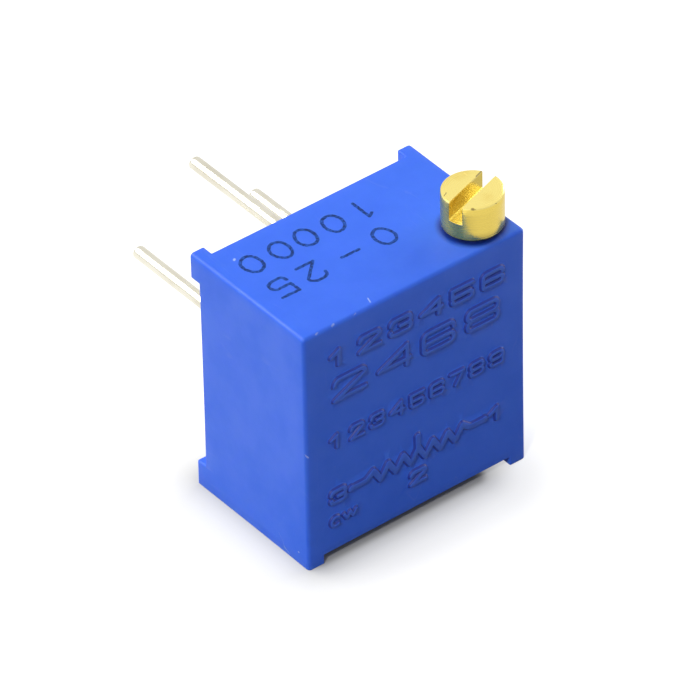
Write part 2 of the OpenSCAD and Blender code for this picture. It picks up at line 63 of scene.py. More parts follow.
cameraView = dict(
    eye=(-126.583, -165.3195, 170.012),
    forward=(0.47914, 0.61663, -0.62466),
    right=(0.78149, -0.62370, -0.01624),
    lens=398.77,
    sensor=36.0,
)


def makeCamera(view):
    data = bpy.data.cameras.new("studioCamera")
    data.lens = view["lens"]
    data.sensor_width = view["sensor"]
    data.clip_start = 0.01
    data.clip_end = 5.0
    camera = bpy.data.objects.new("studioCamera", data)
    bpy.context.scene.collection.objects.link(camera)
    forward = Vector(view["forward"]).normalized()
    right = Vector(view["right"]).normalized()
    up = right.cross(forward)
    turn = Matrix((right, up, -forward)).transposed()
    camera.matrix_world = Matrix.Translation(Vector(view["eye"]) * mm) @ turn.to_4x4()
    bpy.context.scene.camera = camera


makeCamera(cameraView)
print("stage: camera")


# Small tools for meshes

def meshObject(name, points, faces):
    mesh = bpy.data.meshes.new(name)
    mesh.from_pydata([tuple(p) for p in points], [], faces)
    piece = bpy.data.objects.new(name, mesh)
    bpy.context.scene.collection.objects.link(piece)
    return piece


def settle(piece):
    graph = bpy.context.evaluated_depsgraph_get()
    mesh = bpy.data.meshes.new_from_object(piece.evaluated_get(graph))
    piece.modifiers.clear()
    piece.data = mesh


def combine(piece, other, operation="DIFFERENCE"):
    step = piece.modifiers.new("step", "BOOLEAN")
    step.operation = operation
    step.solver = "EXACT"
    step.object = other
    settle(piece)
    bpy.data.objects.remove(other)


@contextmanager
def meshOf(piece):
    bm = bmesh.new()
    bm.from_mesh(piece.data)
    yield bm
    bm.to_mesh(piece.data)
    bm.free()


# Clears the slivers that cuts leave, so that a rounding can run along whole edges
def cleanFlats(piece):
    with meshOf(piece) as bm:
        bmesh.ops.remove_doubles(bm, verts=bm.verts[:], dist=flatGap)
        bmesh.ops.dissolve_limit(bm, angle_limit=math.radians(0.5), verts=bm.verts[:], edges=bm.edges[:])


def roundEdges(piece, width, segments, angle=35.0):
    cleanFlats(piece)
    step = piece.modifiers.new("rounding", "BEVEL")
    step.width = width
    step.segments = segments
    step.limit_method = "ANGLE"
    step.angle_limit = math.radians(angle)
    step.use_clamp_overlap = False
    settle(piece)


def weld(bm):
    bmesh.ops.remove_doubles(bm, verts=bm.verts[:], dist=weldGap)


def faceOutward(bm):
    bmesh.ops.recalc_face_normals(bm, faces=bm.faces[:])


def rimOf(bm):
    return [e for e in bm.edges if len(e.link_faces) == 1]


def dropLoose(bm):
    bmesh.ops.delete(bm, geom=[v for v in bm.verts if not v.link_faces], context="VERTS")


def closeMesh(bm):
    weld(bm)
    mendSeams(bm)
    faceOutward(bm)


# Splits open edges where a corner of the other side of the seam lies on them. This also sews in the stray
# face that cutInside leaves, so no open edge shows it.
def mendSeams(bm):
    for turn in range(4):
        rim = rimOf(bm)
        corners = {v for e in rim for v in e.verts}
        mended = 0
        for edge in rim:
            start = edge.verts[0].co.copy()
            along = edge.verts[1].co - start
            for corner in corners:
                share = (corner.co - start).dot(along) / along.length_squared
                if 1e-3 < share < 1 - 1e-3 and (corner.co - start - share * along).length < flatGap:
                    fresh = bmesh.utils.edge_split(edge, edge.verts[0], share)[1]
                    fresh.co = corner.co
                    mended += 1
                    break
        if not mended:
            break
        weld(bm)


# Adds a closed loop to the points and edges of a flat figure
def addLoop(points, edges, loop):
    start = len(points)
    points += loop
    edges += [(start + i, start + (i + 1) % len(loop)) for i in range(len(loop))]


# Triangles over a flat figure: their corners' places, the triangles, and the points each corner comes from
def triangulate(points, edges):
    result = delaunay_2d_cdt([Vector(p) for p in points], edges, [], 1, weldGap, True)
    return result[0], result[2], result[3]


# Turns a finished mesh into metres, gives it its shading and its finish, and sets it on its body
def finishPiece(piece, material, body, replaced=(), sharp=32.0, weighted=True):
    piece.data.transform(Matrix.Scale(mm, 4))
    piece.data.shade_smooth()
    piece.data.set_sharp_from_angle(angle=math.radians(sharp))
    if weighted:
        step = piece.modifiers.new("shading", "WEIGHTED_NORMAL")
        step.keep_sharp = True
        step.weight = 60
    piece.data.materials.clear()
    piece.data.materials.append(material)
    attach(piece, body)
    if replaced:
        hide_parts(*replaced)


# A closed prism along Y from an outline in X and Z
def prismY(name, outline, start, end):
    count = len(outline)
    points = [(x, start, z) for x, z in outline] + [(x, end, z) for x, z in outline]
    faces = [list(range(count)), list(range(2 * count - 1, count - 1, -1))]
    for i in range(count):
        j = (i + 1) % count
        faces.append([j, i, i + count, j + count])
    return meshObject(name, points, faces)


def blockAt(name, low, high):
    outline = [(low[0], low[2]), (high[0], low[2]), (high[0], high[2]), (low[0], high[2])]
    return prismY(name, outline, low[1], high[1])


def arcPoints(cx, cz, radius, start, end, steps):
    angles = [math.radians(start + (end - start) * i / steps) for i in range(steps + 1)]
    return [(cx + radius * math.cos(a), cz + radius * math.sin(a)) for a in angles]


def roundedOutline(halfX, z0, z1, radius, steps=12):
    corners = [(halfX, z0, 270), (halfX, z1, 0), (-halfX, z1, 90), (-halfX, z0, 180)]
    points = []
    for x, z, start in corners:
        cx = x - math.copysign(radius, x)
        cz = z + radius if z == z0 else z - radius
        points += arcPoints(cx, cz, radius, start, start + 90, steps)
    return points


def circleOutline(cx, cz, radius, steps=64):
    return arcPoints(cx, cz, radius, 0, 360, steps)[:-1]


# Cylinder along Z
def postZ(name, cx, cy, radius, z0, z1, steps=64):
    ring = circleOutline(cx, cy, radius, steps)
    points = [(x, y, z0) for x, y in ring] + [(x, y, z1) for x, y in ring]
    faces = [list(range(steps))[::-1], list(range(steps, 2 * steps))]
    for i in range(steps):
        j = (i + 1) % steps
        faces.append([i, j, j + steps, i + steps])
    return meshObject(name, points, faces)


# Marks: strokes drawn in a plane, read as one field of distances inside their edges

markTone = dict(
    stroke=0.2, height=0.09, foot=0.05, shoulder=0.04, digitShare=0.8,
    rows=(
        dict(digits="123456", inset=1.45, z=8.63, size=0.8, stroke=0.2),
        dict(digits="2468", inset=1.9, z=7.26, size=1.04, stroke=0.2),
        dict(digits="123456789", inset=1.3, z=5.1, size=0.68, stroke=0.16),
    ),
    circuitZ=2.72, circuitStroke=0.26, circuitRise=0.22, circuitTap=0.9, coilShare=0.78, coilPeaks=7,
    terminalSize=0.7, terminalWide=1.15, terminalInset=1.3, lowerZ=1.74,
)


# Part of the middle line of a bowl with round ends, between two angles
def bowlLine(cx, cz, width, height, start, end, steps=24):
    q = min(width, height) / 2
    points = []
    for i in range(steps + 1):
        angle = math.radians(start + (end - start) * i / steps)
        ca, sa = round(math.cos(angle), 9), round(math.sin(angle), 9)
        x = cx + np.sign(ca) * (width / 2 - q) + q * ca
        points.append((x, cz + np.sign(sa) * (height / 2 - q) + q * sa))
    return points


# Middle lines of a plain digit, from its lower left corner
def digitLines(sign, w, h, s):
    m, b, low, up = w / 2, h / 2, h / 4, 0.75 * h
    lines = {
        "0": [bowlLine(m, b, w, h, 0, 360)],
        "1": [[(m, 0), (m, h)], [(m, h), (m - 1.6 * s, h - s)]],
        "2": [bowlLine(m, up, w, b, 180, 0) + [(0, 0), (w, 0)]],
        "3": [bowlLine(m, up, w, b, 180, -90), bowlLine(m, low, w, b, 90, -180)],
        "4": [[(w - 0.6 * s, 0), (w - 0.6 * s, h), (0, 1.2 * s), (w, 1.2 * s)]],
        "5": [[(w, h), (0, h), (0, b), (m, b)], bowlLine(m, low, w, b, 90, -180)],
        "6": [bowlLine(m, low, w, b, 0, 360), [(0, low)] + bowlLine(m, up, w, b, 180, 0)],
        "7": [[(0, h), (w, h), (0.4 * w, 0)]],
        "8": [bowlLine(m, low, w, b, 0, 360), bowlLine(m, up, w, b, 0, 360)],
        "-": [[(0, b), (w, b)]],
    }
    if sign == "9":
        return [[(w - x, h - z) for x, z in line] for line in digitLines("6", w, h, s)]
    return lines[sign]


def digitStrokes(sign, cx, cz, wide, size, stroke):
    w, h = wide - stroke, size - stroke
    lines = digitLines(sign, w, h, stroke)
    return [([(cx - w / 2 + x, cz - h / 2 + z) for x, z in line], stroke) for line in lines]


def numberStrokes(tone, halfWidth):
    strokes = []
    for row in tone["rows"]:
        pitch = 2 * (halfWidth - row["inset"]) / (len(row["digits"]) - 1)
        for i, sign in enumerate(row["digits"]):
            x = row["inset"] - halfWidth + i * pitch
            wide = tone["digitShare"] * pitch
            strokes += digitStrokes(sign, x, row["z"], wide, row["size"], row["stroke"])
    return strokes


def circuitStrokes(tone, halfWidth):
    s, z, size = tone["circuitStroke"], tone["circuitZ"], tone["terminalSize"]
    wide = tone["terminalWide"] * size
    side = halfWidth - tone["terminalInset"]
    half = side - wide / 2 - 0.6 * s
    coil = tone["coilShare"] * half
    count = 2 * tone["coilPeaks"]
    rise = tone["circuitRise"] + 0.04
    line = [(-coil, z)]
    for i in range(1, count):
        line.append((-coil + 2 * coil * i / count, z + (rise if i % 2 else -rise)))
    strokes = [([(-half, z)] + line + [(coil, z), (half, z)], s)]
    strokes += [([(x * half, z), (x * half + 0.001, z)], 1.2 * s) for x in (-1, 1)]
    strokes.append(([(0, z + rise), (0, z + tone["circuitTap"] - s / 2)], s))
    for sign, x, height in (("1", side, z), ("2", 0, tone["lowerZ"]), ("3", -side, z)):
        strokes += digitStrokes(sign, x, height, wide, size, tone["stroke"])
    small, thin = 0.75 * size, 0.8 * tone["stroke"]
    left, base = -side - wide / 2, tone["lowerZ"] - size / 2
    strokes.append((arcPoints(left + small / 2, base + small / 2, (small - thin) / 2, 50, 310, 18), thin))
    wave = [small - thin, thin, 0.7 * small, thin, small - thin]
    strokes.append(([(left + 1.2 * small + i * small / 4, base + h) for i, h in enumerate(wave)], thin))
    return strokes


class MarkField:
    def __init__(self, x0, x1, z0, z1, pitch=0.02, reach=0.12):
        self.x0, self.z0, self.pitch, self.reach = x0, z0, pitch, reach
        self.xs = np.arange(x0, x1 + pitch / 2, pitch)
        self.zs = np.arange(z0, z1 + pitch / 2, pitch)
        self.values = np.full((len(self.xs), len(self.zs)), -reach)

    def window(self, points, margin):
        xs, zs = [p[0] for p in points], [p[1] for p in points]
        i0 = max(int((min(xs) - margin - self.x0) / self.pitch), 0)
        i1 = int((max(xs) + margin - self.x0) / self.pitch) + 2
        j0 = max(int((min(zs) - margin - self.z0) / self.pitch), 0)
        j1 = int((max(zs) + margin - self.z0) / self.pitch) + 2
        grid = np.meshgrid(self.xs[i0:i1], self.zs[j0:j1], indexing="ij")
        return slice(i0, i1), slice(j0, j1), grid[0], grid[1]

    def raiseTo(self, i, j, inside):
        self.values[i, j] = np.maximum(self.values[i, j], inside)

    def addStroke(self, points, width):
        for (ax, az), (bx, bz) in zip(points, points[1:]):
            i, j, gx, gz = self.window([(ax, az), (bx, bz)], width / 2 + self.reach)
            dx, dz = bx - ax, bz - az
            share = np.clip(((gx - ax) * dx + (gz - az) * dz) / max(dx * dx + dz * dz, 1e-12), 0, 1)
            self.raiseTo(i, j, width / 2 - np.hypot(gx - ax - share * dx, gz - az - share * dz))

    def at(self, x, z):
        u = min(max((x - self.x0) / self.pitch, 0), len(self.xs) - 1.001)
        v = min(max((z - self.z0) / self.pitch, 0), len(self.zs) - 1.001)
        i, j = int(u), int(v)
        u, v = u - i, v - j
        f = self.values
        low = f[i, j] * (1 - u) + f[i + 1, j] * u
        high = f[i, j + 1] * (1 - u) + f[i + 1, j + 1] * u
        return low * (1 - v) + high * v

    def crossing(self, a, b, level):
        fa, fb = self.values[a], self.values[b]
        t = (level - fa) / (fb - fa)
        x = self.xs[a[0]] + t * (self.xs[b[0]] - self.xs[a[0]])
        z = self.zs[a[1]] + t * (self.zs[b[1]] - self.zs[a[1]])
        return float(x), float(z)

    # Closed lines along which the field has one value
    def contours(self, level):
        inside = self.values > level
        total = (inside[:-1, :-1].astype(int) + inside[1:, :-1] + inside[1:, 1:] + inside[:-1, 1:])
        links, places = {}, {}
        for i, j in np.argwhere((total > 0) & (total < 4)):
            corners = [(i, j), (i + 1, j), (i + 1, j + 1), (i, j + 1)]
            cuts = []
            for a, b in zip(corners, corners[1:] + corners[:1]):
                if inside[a] != inside[b]:
                    key = (min(a, b), max(a, b))
                    places[key] = self.crossing(a, b, level)
                    cuts.append(key)
            pairs = [cuts] if len(cuts) == 2 else [cuts[:2], cuts[2:]]
            for one, two in pairs:
                links.setdefault(one, []).append(two)
                links.setdefault(two, []).append(one)
        loops = []
        while links:
            start = next(iter(links))
            loop, here = [], start
            while here in links:
                loop.append(places[here])
                onward = [k for k in links.pop(here) if k in links]
                if not onward:
                    break
                here = onward[0]
            if len(loop) > 5:
                loops.append(thinned(loop, 0.0015))
        return loops


# Leaves out points of a closed line that lie within a small distance of the line without them
def thinned(loop, slack):
    points = np.array(loop)
    far = int(np.argmax(np.hypot(*(points - points[0]).T)))
    keep = {0, far}
    spans = [(0, far), (far, len(points))]
    while spans:
        a, b = spans.pop()
        if b - a < 2:
            continue
        start, end = points[a], points[b % len(points)]
        along = end - start
        offset = points[a + 1:b] - start
        gap = np.abs(along[0] * offset[:, 1] - along[1] * offset[:, 0]) / max(np.hypot(*along), 1e-9)
        k = int(np.argmax(gap))
        if gap[k] > slack:
            keep.add(a + 1 + k)
            spans += [(a, a + 1 + k), (a + 1 + k, b)]
    return [tuple(points[k]) for k in sorted(keep)]


def smoothStep(t):
    t = min(max(t, 0.0), 1.0)
    return t * t * (3 - 2 * t)


# Rounded step from the ground at the foot of a mark to its top
def markRise(inside, tone):
    return smoothStep((inside + tone["foot"]) / (tone["foot"] + tone["shoulder"]))


# Housing

body = dict(
    depth=5.69, ledge=2.75, sideWall=0.45, recessRadius=1.05,
    railWidth=0.69, railHeight=0.38, footWidth=0.585, footHeight=1.05,
    edgeRound=0.06, outerRound=0.15, bow=0.025, bowReach=0.22, gridPitch=0.47,
    postRadius=0.6, postEnd=1.97, chamberFront=0.77, chamberRadius=3.145,
    stopIn=1.05, stopOut=2.105, stopHeight=0.4, stopHalf=14.5,
    filmFront=2.67, filmRadius=2.57, padRadius=0.41,
    boreRadius=0.78, boreBottom=1.48, pivotRadius=0.4, pivotBottom=0.88,
    clipHalf=0.79, clipDepth=1.65, clipHeight=0.145, clipFront=0.83,
)
housingLow, housingHigh = cadBox("housing")
halfWidth = housingHigh.x
topZ = housingHigh.z
feetY = housingHigh.y
frontY = housingLow.y + markTone["height"]
rimY = frontY + body["depth"]
wheelLow, wheelHigh = cadBox("rotor_gear")
wheelZ = (wheelLow.z + wheelHigh.z) / 2
screwLow, screwHigh = cadBox("adjust_screw")
screwX = (screwLow.x + screwHigh.x) / 2
screwY = (screwLow.y + screwHigh.y) / 2
pinBoxes = {name: cadBox(name) for name in ("pin_1", "pin_2", "pin_3")}
pinPlaces = {n: ((b[0].x + b[1].x) / 2, (b[0].z + b[1].z) / 2) for n, b in pinBoxes.items()}


# Larger rounding along the outer edges of the front, the top and the sides
def roundOuter(shell):
    with meshOf(shell) as bm:
        chosen = []
        for edge in bm.edges:
            middle = (edge.verts[0].co + edge.verts[1].co) / 2
            gaps = (abs(middle.x) - halfWidth, middle.y - frontY, middle.z - topZ)
            if sum(abs(gap) < flatGap for gap in gaps) == 2:
                chosen.append(edge)
        bmesh.ops.bevel(bm, geom=chosen, offset=body["outerRound"], segments=5, profile=0.5, affect="EDGES")


# Half width, bottom and top of the recess on the pin side
def recessSpan():
    wall = body["sideWall"]
    return halfWidth - wall, body["railHeight"] + wall, topZ - wall


def housingShell():
    w, rail = halfWidth, halfWidth - body["railWidth"]
    up = body["railHeight"]
    outline = [(-w, 0), (-rail, 0), (-rail, up), (rail, up), (rail, 0), (w, 0), (w, topZ), (-w, topZ)]
    shell = prismY("housing_shell", outline, frontY, feetY)
    roundOuter(shell)
    inner = w - body["footWidth"]
    foot = body["footHeight"]
    combine(shell, blockAt("cut", (-inner, rimY, -1), (inner, feetY + 1, topZ + 1)))
    combine(shell, blockAt("cut", (-w - 1, rimY, foot), (w + 1, feetY + 1, topZ - foot)))
    recess = roundedOutline(*recessSpan(), body["recessRadius"])
    combine(shell, prismY("cut", recess, frontY + body["ledge"], feetY + 1))
    roundEdges(shell, body["edgeRound"], 4)
    return shell


# Known fault: the first of these cuts leaves a stray face between the rails on the pin side
def cutInside(shell):
    b, front = body, frontY
    ledge, chamber, film = front + b["ledge"], front + b["chamberFront"], front + b["filmFront"]

    def cutRound(x, z, radius, begin, finish, steps=64):
        combine(shell, prismY("cut", circleOutline(x, z, radius, steps), begin, finish))

    cutRound(0, wheelZ, b["chamberRadius"], chamber, ledge + 0.2, 96)
    cutRound(0, wheelZ, b["filmRadius"], film, ledge + 0.1)
    for x, z in pinPlaces.values():
        cutRound(x, z, b["padRadius"], film, ledge + 0.1, 32)
    combine(shell, postZ("cut", screwX, screwY, b["boreRadius"], b["boreBottom"], topZ + 1))
    combine(shell, postZ("cut", screwX, screwY, b["pivotRadius"], b["pivotBottom"], b["boreBottom"] + 1))
    clipZ = topZ - b["clipDepth"]
    low = (screwX - b["clipHalf"], front + b["clipFront"], clipZ - b["clipHeight"])
    high = (screwX + b["clipHalf"], ledge + 0.1, clipZ + b["clipHeight"])
    combine(shell, blockAt("cut", low, high))
    post = prismY("add", circleOutline(0, wheelZ, b["postRadius"]), chamber - 0.1, front + b["postEnd"])
    combine(shell, post, "UNION")
    half = b["stopHalf"]
    arc = arcPoints(0, wheelZ, b["stopOut"], 90 - half, 90 + half, 8)
    arc += arcPoints(0, wheelZ, b["stopIn"], 90 + half, 90 - half, 8)
    combine(shell, prismY("add", arc, chamber - 0.1, chamber + b["stopHeight"]), "UNION")


# Even cuts through the whole shell, so that its flat faces can bow
def scoreShell(bm, pitch):
    spans = ((0, -halfWidth, halfWidth), (1, frontY, feetY), (2, 0.0, topZ))
    for axis, start, end in spans:
        count = int((end - start) / pitch)
        for i in range(1, count):
            at, normal = Vector(), Vector()
            at[axis] = start + (end - start) * (i + 0.13) / count
            normal[axis] = 1
            geometry = bm.verts[:] + bm.edges[:] + bm.faces[:]
            bmesh.ops.bisect_plane(bm, geom=geometry, dist=flatGap, plane_co=at, plane_no=normal)


# Triangles over the marked face that follow the edges of its marks
def coverFront(bm, field, tone, pitch=0.4):
    flat = [f for f in bm.faces if f.normal.y < -0.999 and abs(f.calc_center_median().y - frontY) < 1e-3]
    bmesh.ops.delete(bm, geom=flat, context="FACES")
    rim = rimOf(bm)
    known = list({v for e in rim for v in e.verts})
    index = {v: i for i, v in enumerate(known)}
    points = [(v.co.x, v.co.z) for v in known]
    edges = [(index[e.verts[0]], index[e.verts[1]]) for e in rim]
    levels = [tone["shoulder"] * t - tone["foot"] * (1 - t) for t in (0, 0.25, 0.5, 0.75, 1)]
    for level in levels:
        for loop in field.contours(level):
            addLoop(points, edges, loop)
    x = -halfWidth + pitch
    while x < halfWidth - pitch / 2:
        z = pitch + body["railHeight"]
        while z < topZ - pitch / 2:
            points.append((x + 0.07 * math.sin(9 * z), z))
            z += pitch
        x += pitch
    places, triangles, origins = triangulate(points, edges)
    verts = []
    for place, origin in zip(places, origins):
        kept = [k for k in origin if k < len(known)]
        if kept:
            verts.append(known[kept[0]])
        else:
            rise = tone["height"] * markRise(field.at(place.x, place.y), tone)
            verts.append(bm.verts.new((place.x, frontY - rise, place.y)))
    outline = np.array([[points[a], points[b]] for a, b in edges[:len(rim)]])
    leastArea = 1e-6
    for triangle in triangles:
        corners = [verts[k] for k in triangle]
        middle = sum((places[k] for k in triangle), Vector((0, 0))) / 3
        a, b, c = (places[k] for k in triangle)
        wide = abs((b - a).cross(c - a)) > leastArea
        if wide and len(set(corners)) == 3 and isInside(middle, outline):
            bm.faces.new(corners)


# Whether a point lies inside a closed outline given by its edges
def isInside(point, outline):
    (ax, az), (bx, bz) = outline[:, 0].T, outline[:, 1].T
    spans = (az > point.y) != (bz > point.y)
    cuts = ax[spans] + (point.y - az[spans]) / (bz[spans] - az[spans]) * (bx[spans] - ax[spans])
    return bool(np.count_nonzero(cuts > point.x) % 2)


# The faces of the moulding draw in a little towards their middles
def bowPoint(co):
    u = co.x / halfWidth
    v = (co.y - frontY) / (rimY - frontY) * 2 - 1
    w = co.z / topZ * 2 - 1
    depth, reach = body["bow"], body["bowReach"]
    side = smoothStep((abs(u) - 1 + reach) / reach) * max(1 - 0.5 * min(v * v, 1) - 0.5 * w * w, 0)
    front = smoothStep((-v - 1 + reach) / reach) * max(1 - 0.5 * u * u - 0.5 * w * w, 0)
    top = smoothStep((w - 1 + reach) / reach) * max(1 - 0.5 * u * u - 0.5 * min(v * v, 1), 0)
    return Vector((-math.copysign(side, u), front, -0.7 * top)) * depth


def reliefField():
    field = MarkField(-halfWidth + 0.25, halfWidth - 0.25, 0.6, topZ - 0.5)
    for points, width in numberStrokes(markTone, halfWidth) + circuitStrokes(markTone, halfWidth):
        field.addStroke(points, width)
    return field


def makeHousing(material):
    shell = housingShell()
    cutInside(shell)
    with meshOf(shell) as bm:
        closeMesh(bm)
        scoreShell(bm, body["gridPitch"])
        bm.normal_update()
        coverFront(bm, reliefField(), markTone)
        closeMesh(bm)
        relief = bm.verts.layers.float.new("relief")
        for v in bm.verts:
            if v.co.y < frontY + 0.02:
                v[relief] = max(frontY - v.co.y, 0) / markTone["height"]
            v.co += bowPoint(v.co)
    finishPiece(shell, material, "housing", ("housing",))
    print("stage: housing", len(shell.data.vertices), "points")


# Ink figures on the top, read from the pin side

inkTone = dict(
    width=0.115, size=1.04, widening=1.55, lift=0.006, thick=0.012, wobble=0.012, ragged=0.022,
    firstRow=-1.69, secondRow=-3.32,
)
inkFigures = [
    ("1", 1.165, "firstRow"), ("0", -0.035, "firstRow"), ("0", -1.225, "firstRow"),
    ("0", -2.305, "firstRow"), ("0", -3.515, "firstRow"),
    ("0", 0.86, "secondRow"), ("-", -0.62, "secondRow"), ("2", -2.2, "secondRow"), ("5", -3.5, "secondRow"),
]


def makeInk(material):
    field = MarkField(-halfWidth + 0.1, 2.4, frontY + 1.6, frontY + 5.4, 0.015, 0.06)
    inner = inkTone["size"] - inkTone["width"]
    for sign, cx, row in inkFigures:
        wide = inkTone["widening"] * inner / 2
        # A stamp prints its noughts as ovals
        ring = circleOutline(0, 0, 1, 32) + [(1, 0)]
        oval = [[(wide * (1 + x) / 2, inner * (1 + z) / 2) for x, z in ring]]
        for line in oval if sign == "0" else digitLines(sign, wide, inner, inkTone["width"]):
            points = [(cx + wide / 2 - x, inkTone[row] + inner / 2 - z) for x, z in line]
            sway = inkTone["wobble"]
            points = [(x + sway * math.sin(7 * y + cx), y + sway * math.sin(9 * x)) for x, y in points]
            field.addStroke(points, inkTone["width"])
    rough = np.array([[noise.noise(Vector((x * 9, y * 9, 0))) for y in field.zs] for x in field.xs])
    field.values += inkTone["ragged"] * rough
    points, edges = [], []
    for loop in field.contours(0.0):
        addLoop(points, edges, loop)
    places, triangles = triangulate(points, edges)[:2]
    bm = bmesh.new()
    verts = [bm.verts.new((p.x, p.y, topZ + inkTone["lift"])) for p in places]
    for triangle in triangles:
        cx = sum(places[k].x for k in triangle) / 3
        cy = sum(places[k].y for k in triangle) / 3
        if field.at(cx, cy) > 0:
            bm.faces.new([verts[k] for k in triangle])
    dropLoose(bm)
    faceOutward(bm)
    lower = bmesh.ops.extrude_face_region(bm, geom=bm.faces[:])["geom"]
    for v in lower:
        if isinstance(v, bmesh.types.BMVert):
            v.co.z -= inkTone["thick"]
    for v in bm.verts:
        v.co.z += bowPoint(Vector((v.co.x, v.co.y, topZ))).z
    faceOutward(bm)
    piece = meshObject("ink_figures", [], [])
    bm.to_mesh(piece.data)
    bm.free()
    finishPiece(piece, material, "housing", weighted=False)
    print("stage: ink", len(piece.data.vertices), "points")


# Adjusting screw

screw = dict(
    headRadius=1.095, headHeight=1.39, headGap=0.13, headChamfer=0.07,
    slotWidth=0.53, slotDepth=0.75, slotTurn=18.5, slotRound=0.018, neckRadius=0.6,
    collarRadius=0.74, pivotRadius=0.36, ringGroove=0.5, clipGroove=0.42,
    ringDepth=0.85, ringHalf=0.18, clipDepth=1.65, clipHalf=0.175, collarLength=0.2,
    pivotLength=0.55, threadGap=0.05, wormPitchRadius=0.6, addendum=0.12, rootGap=0.03,
    flank=20.0, wheelPitchRadius=2.925, teeth=30, backlash=0.06, columns=96, rowPitch=0.022,
)


def threadRadius(angle, z):
    pitch = 2 * math.pi * screw["wheelPitchRadius"] / screw["teeth"]
    phase = (angle / (2 * math.pi) - (wheelZ - z) / pitch + 0.5) % 1 - 0.5
    away = abs(phase) * pitch
    half = (pitch - screw["backlash"]) / 4
    slope = math.tan(math.radians(screw["flank"]))
    high = screw["wormPitchRadius"] + screw["addendum"]
    low = screw["wormPitchRadius"] - screw["addendum"] - screw["rootGap"]
    return min(max(screw["wormPitchRadius"] - (away - half) / slope, low), high)


# The turned outline as radius and height from the bottom, with None where the thread sets the radius
def screwOutline():
    s = screw
    bottom, top = screwLow.z, screwHigh.z
    threadStart = bottom + s["pivotLength"] + s["threadGap"]
    clip, ring = topZ - s["clipDepth"], topZ - s["ringDepth"]
    threadEnd = clip - s["clipHalf"] - s["collarLength"]
    head = topZ + s["headGap"]
    r, c, h = s["headRadius"], s["headChamfer"], s["headHeight"]
    outline = [(0, bottom), (s["pivotRadius"] - 0.04, bottom), (s["pivotRadius"], bottom + 0.04)]
    outline += [(s["pivotRadius"], threadStart)]
    rows = int((threadEnd - threadStart) / s["rowPitch"])
    outline += [(None, threadStart + (threadEnd - threadStart) * i / rows) for i in range(rows + 1)]
    # Each collar's start and end, with the radius and the end of the groove that follows it
    clipLow, ringLow = clip - s["clipHalf"], ring - s["ringHalf"]
    collars = (
        (threadEnd, clipLow, s["clipGroove"], clipLow + 2 * s["clipHalf"]),
        (clip + s["clipHalf"], ringLow, s["ringGroove"], ringLow + 2 * s["ringHalf"]),
        (ring + s["ringHalf"], topZ - 0.1, s["neckRadius"], head),
    )
    for z0, z1, groove, follow in collars:
        outline += [(s["collarRadius"], z0), (s["collarRadius"], z1), (groove, z1), (groove, follow)]
    outline += [(r - 0.05, head), (r - 0.015, head + 0.015), (r, head + 0.05)]
    outline += [(r, head + h * t) for t in (0.25, 0.5, 0.75)]
    outline += [(r, top - c), (r - 0.3 * c, top - 0.3 * c), (r - c, top), (r - 2 * c, top)]
    outline += [(r * t, top) for t in (0.7, 0.45, 0.2)] + [(0, top)]
    return outline


def makeScrew(material):
    outline = screwOutline()
    count = screw["columns"]
    points, faces, rings = [], [], []
    for radius, z in outline:
        if radius == 0:
            rings.append([len(points)])
            points.append((0, 0, z))
            continue
        rings.append(list(range(len(points), len(points) + count)))
        for k in range(count):
            angle = 2 * math.pi * k / count
            r = threadRadius(angle, z) if radius is None else radius
            points.append((r * math.cos(angle), r * math.sin(angle), z))
    for low, high in zip(rings, rings[1:]):
        for k in range(count):
            j = (k + 1) % count
            if len(low) == 1:
                faces.append([low[0], high[j], high[k]])
            elif len(high) == 1:
                faces.append([low[k], low[j], high[0]])
            else:
                faces.append([low[k], low[j], high[j], high[k]])
    piece = meshObject("slotted_screw", points, faces)
    low = (-2 * screw["headRadius"], -screw["slotWidth"] / 2, screwHigh.z - screw["slotDepth"])
    high = (2 * screw["headRadius"], screw["slotWidth"] / 2, screwHigh.z + 1)
    slot = blockAt("cut", low, high)
    slot.data.transform(Matrix.Rotation(math.radians(screw["slotTurn"]), 4, "Z"))
    combine(piece, slot)
    softenSlot(piece)
    piece.data.transform(Matrix.Translation((screwX, screwY, 0)))
    finishPiece(piece, material, "screw", ("adjust_screw",), sharp=28)
    print("stage: screw", len(piece.data.vertices), "points")


# Small rounding along the cut edges of the slot
def softenSlot(piece):
    turn = Matrix.Rotation(-math.radians(screw["slotTurn"]), 3, "Z")
    half, near = screw["slotWidth"] / 2, 1e-3
    floorZ = screwHigh.z - screw["slotDepth"]
    with meshOf(piece) as bm:
        weld(bm)
        chosen = []
        for edge in bm.edges:
            ends = [turn @ v.co for v in edge.verts]
            onWall = all(abs(abs(e.y) - half) < near and e.z > floorZ - near for e in ends)
            if onWall and len(edge.link_faces) == 2 and edge.calc_face_angle(0) > 0.6:
                chosen.append(edge)
        bmesh.ops.bevel(bm, geom=chosen, offset=screw["slotRound"], segments=2, profile=0.5, affect="EDGES",
                        clamp_overlap=True)
        faceOutward(bm)


# Pins

pin = dict(radius=0.255, shank=0.2, columns=40, wave=0.006, tipRound=0.03, shear=0.025, lean=0.1)


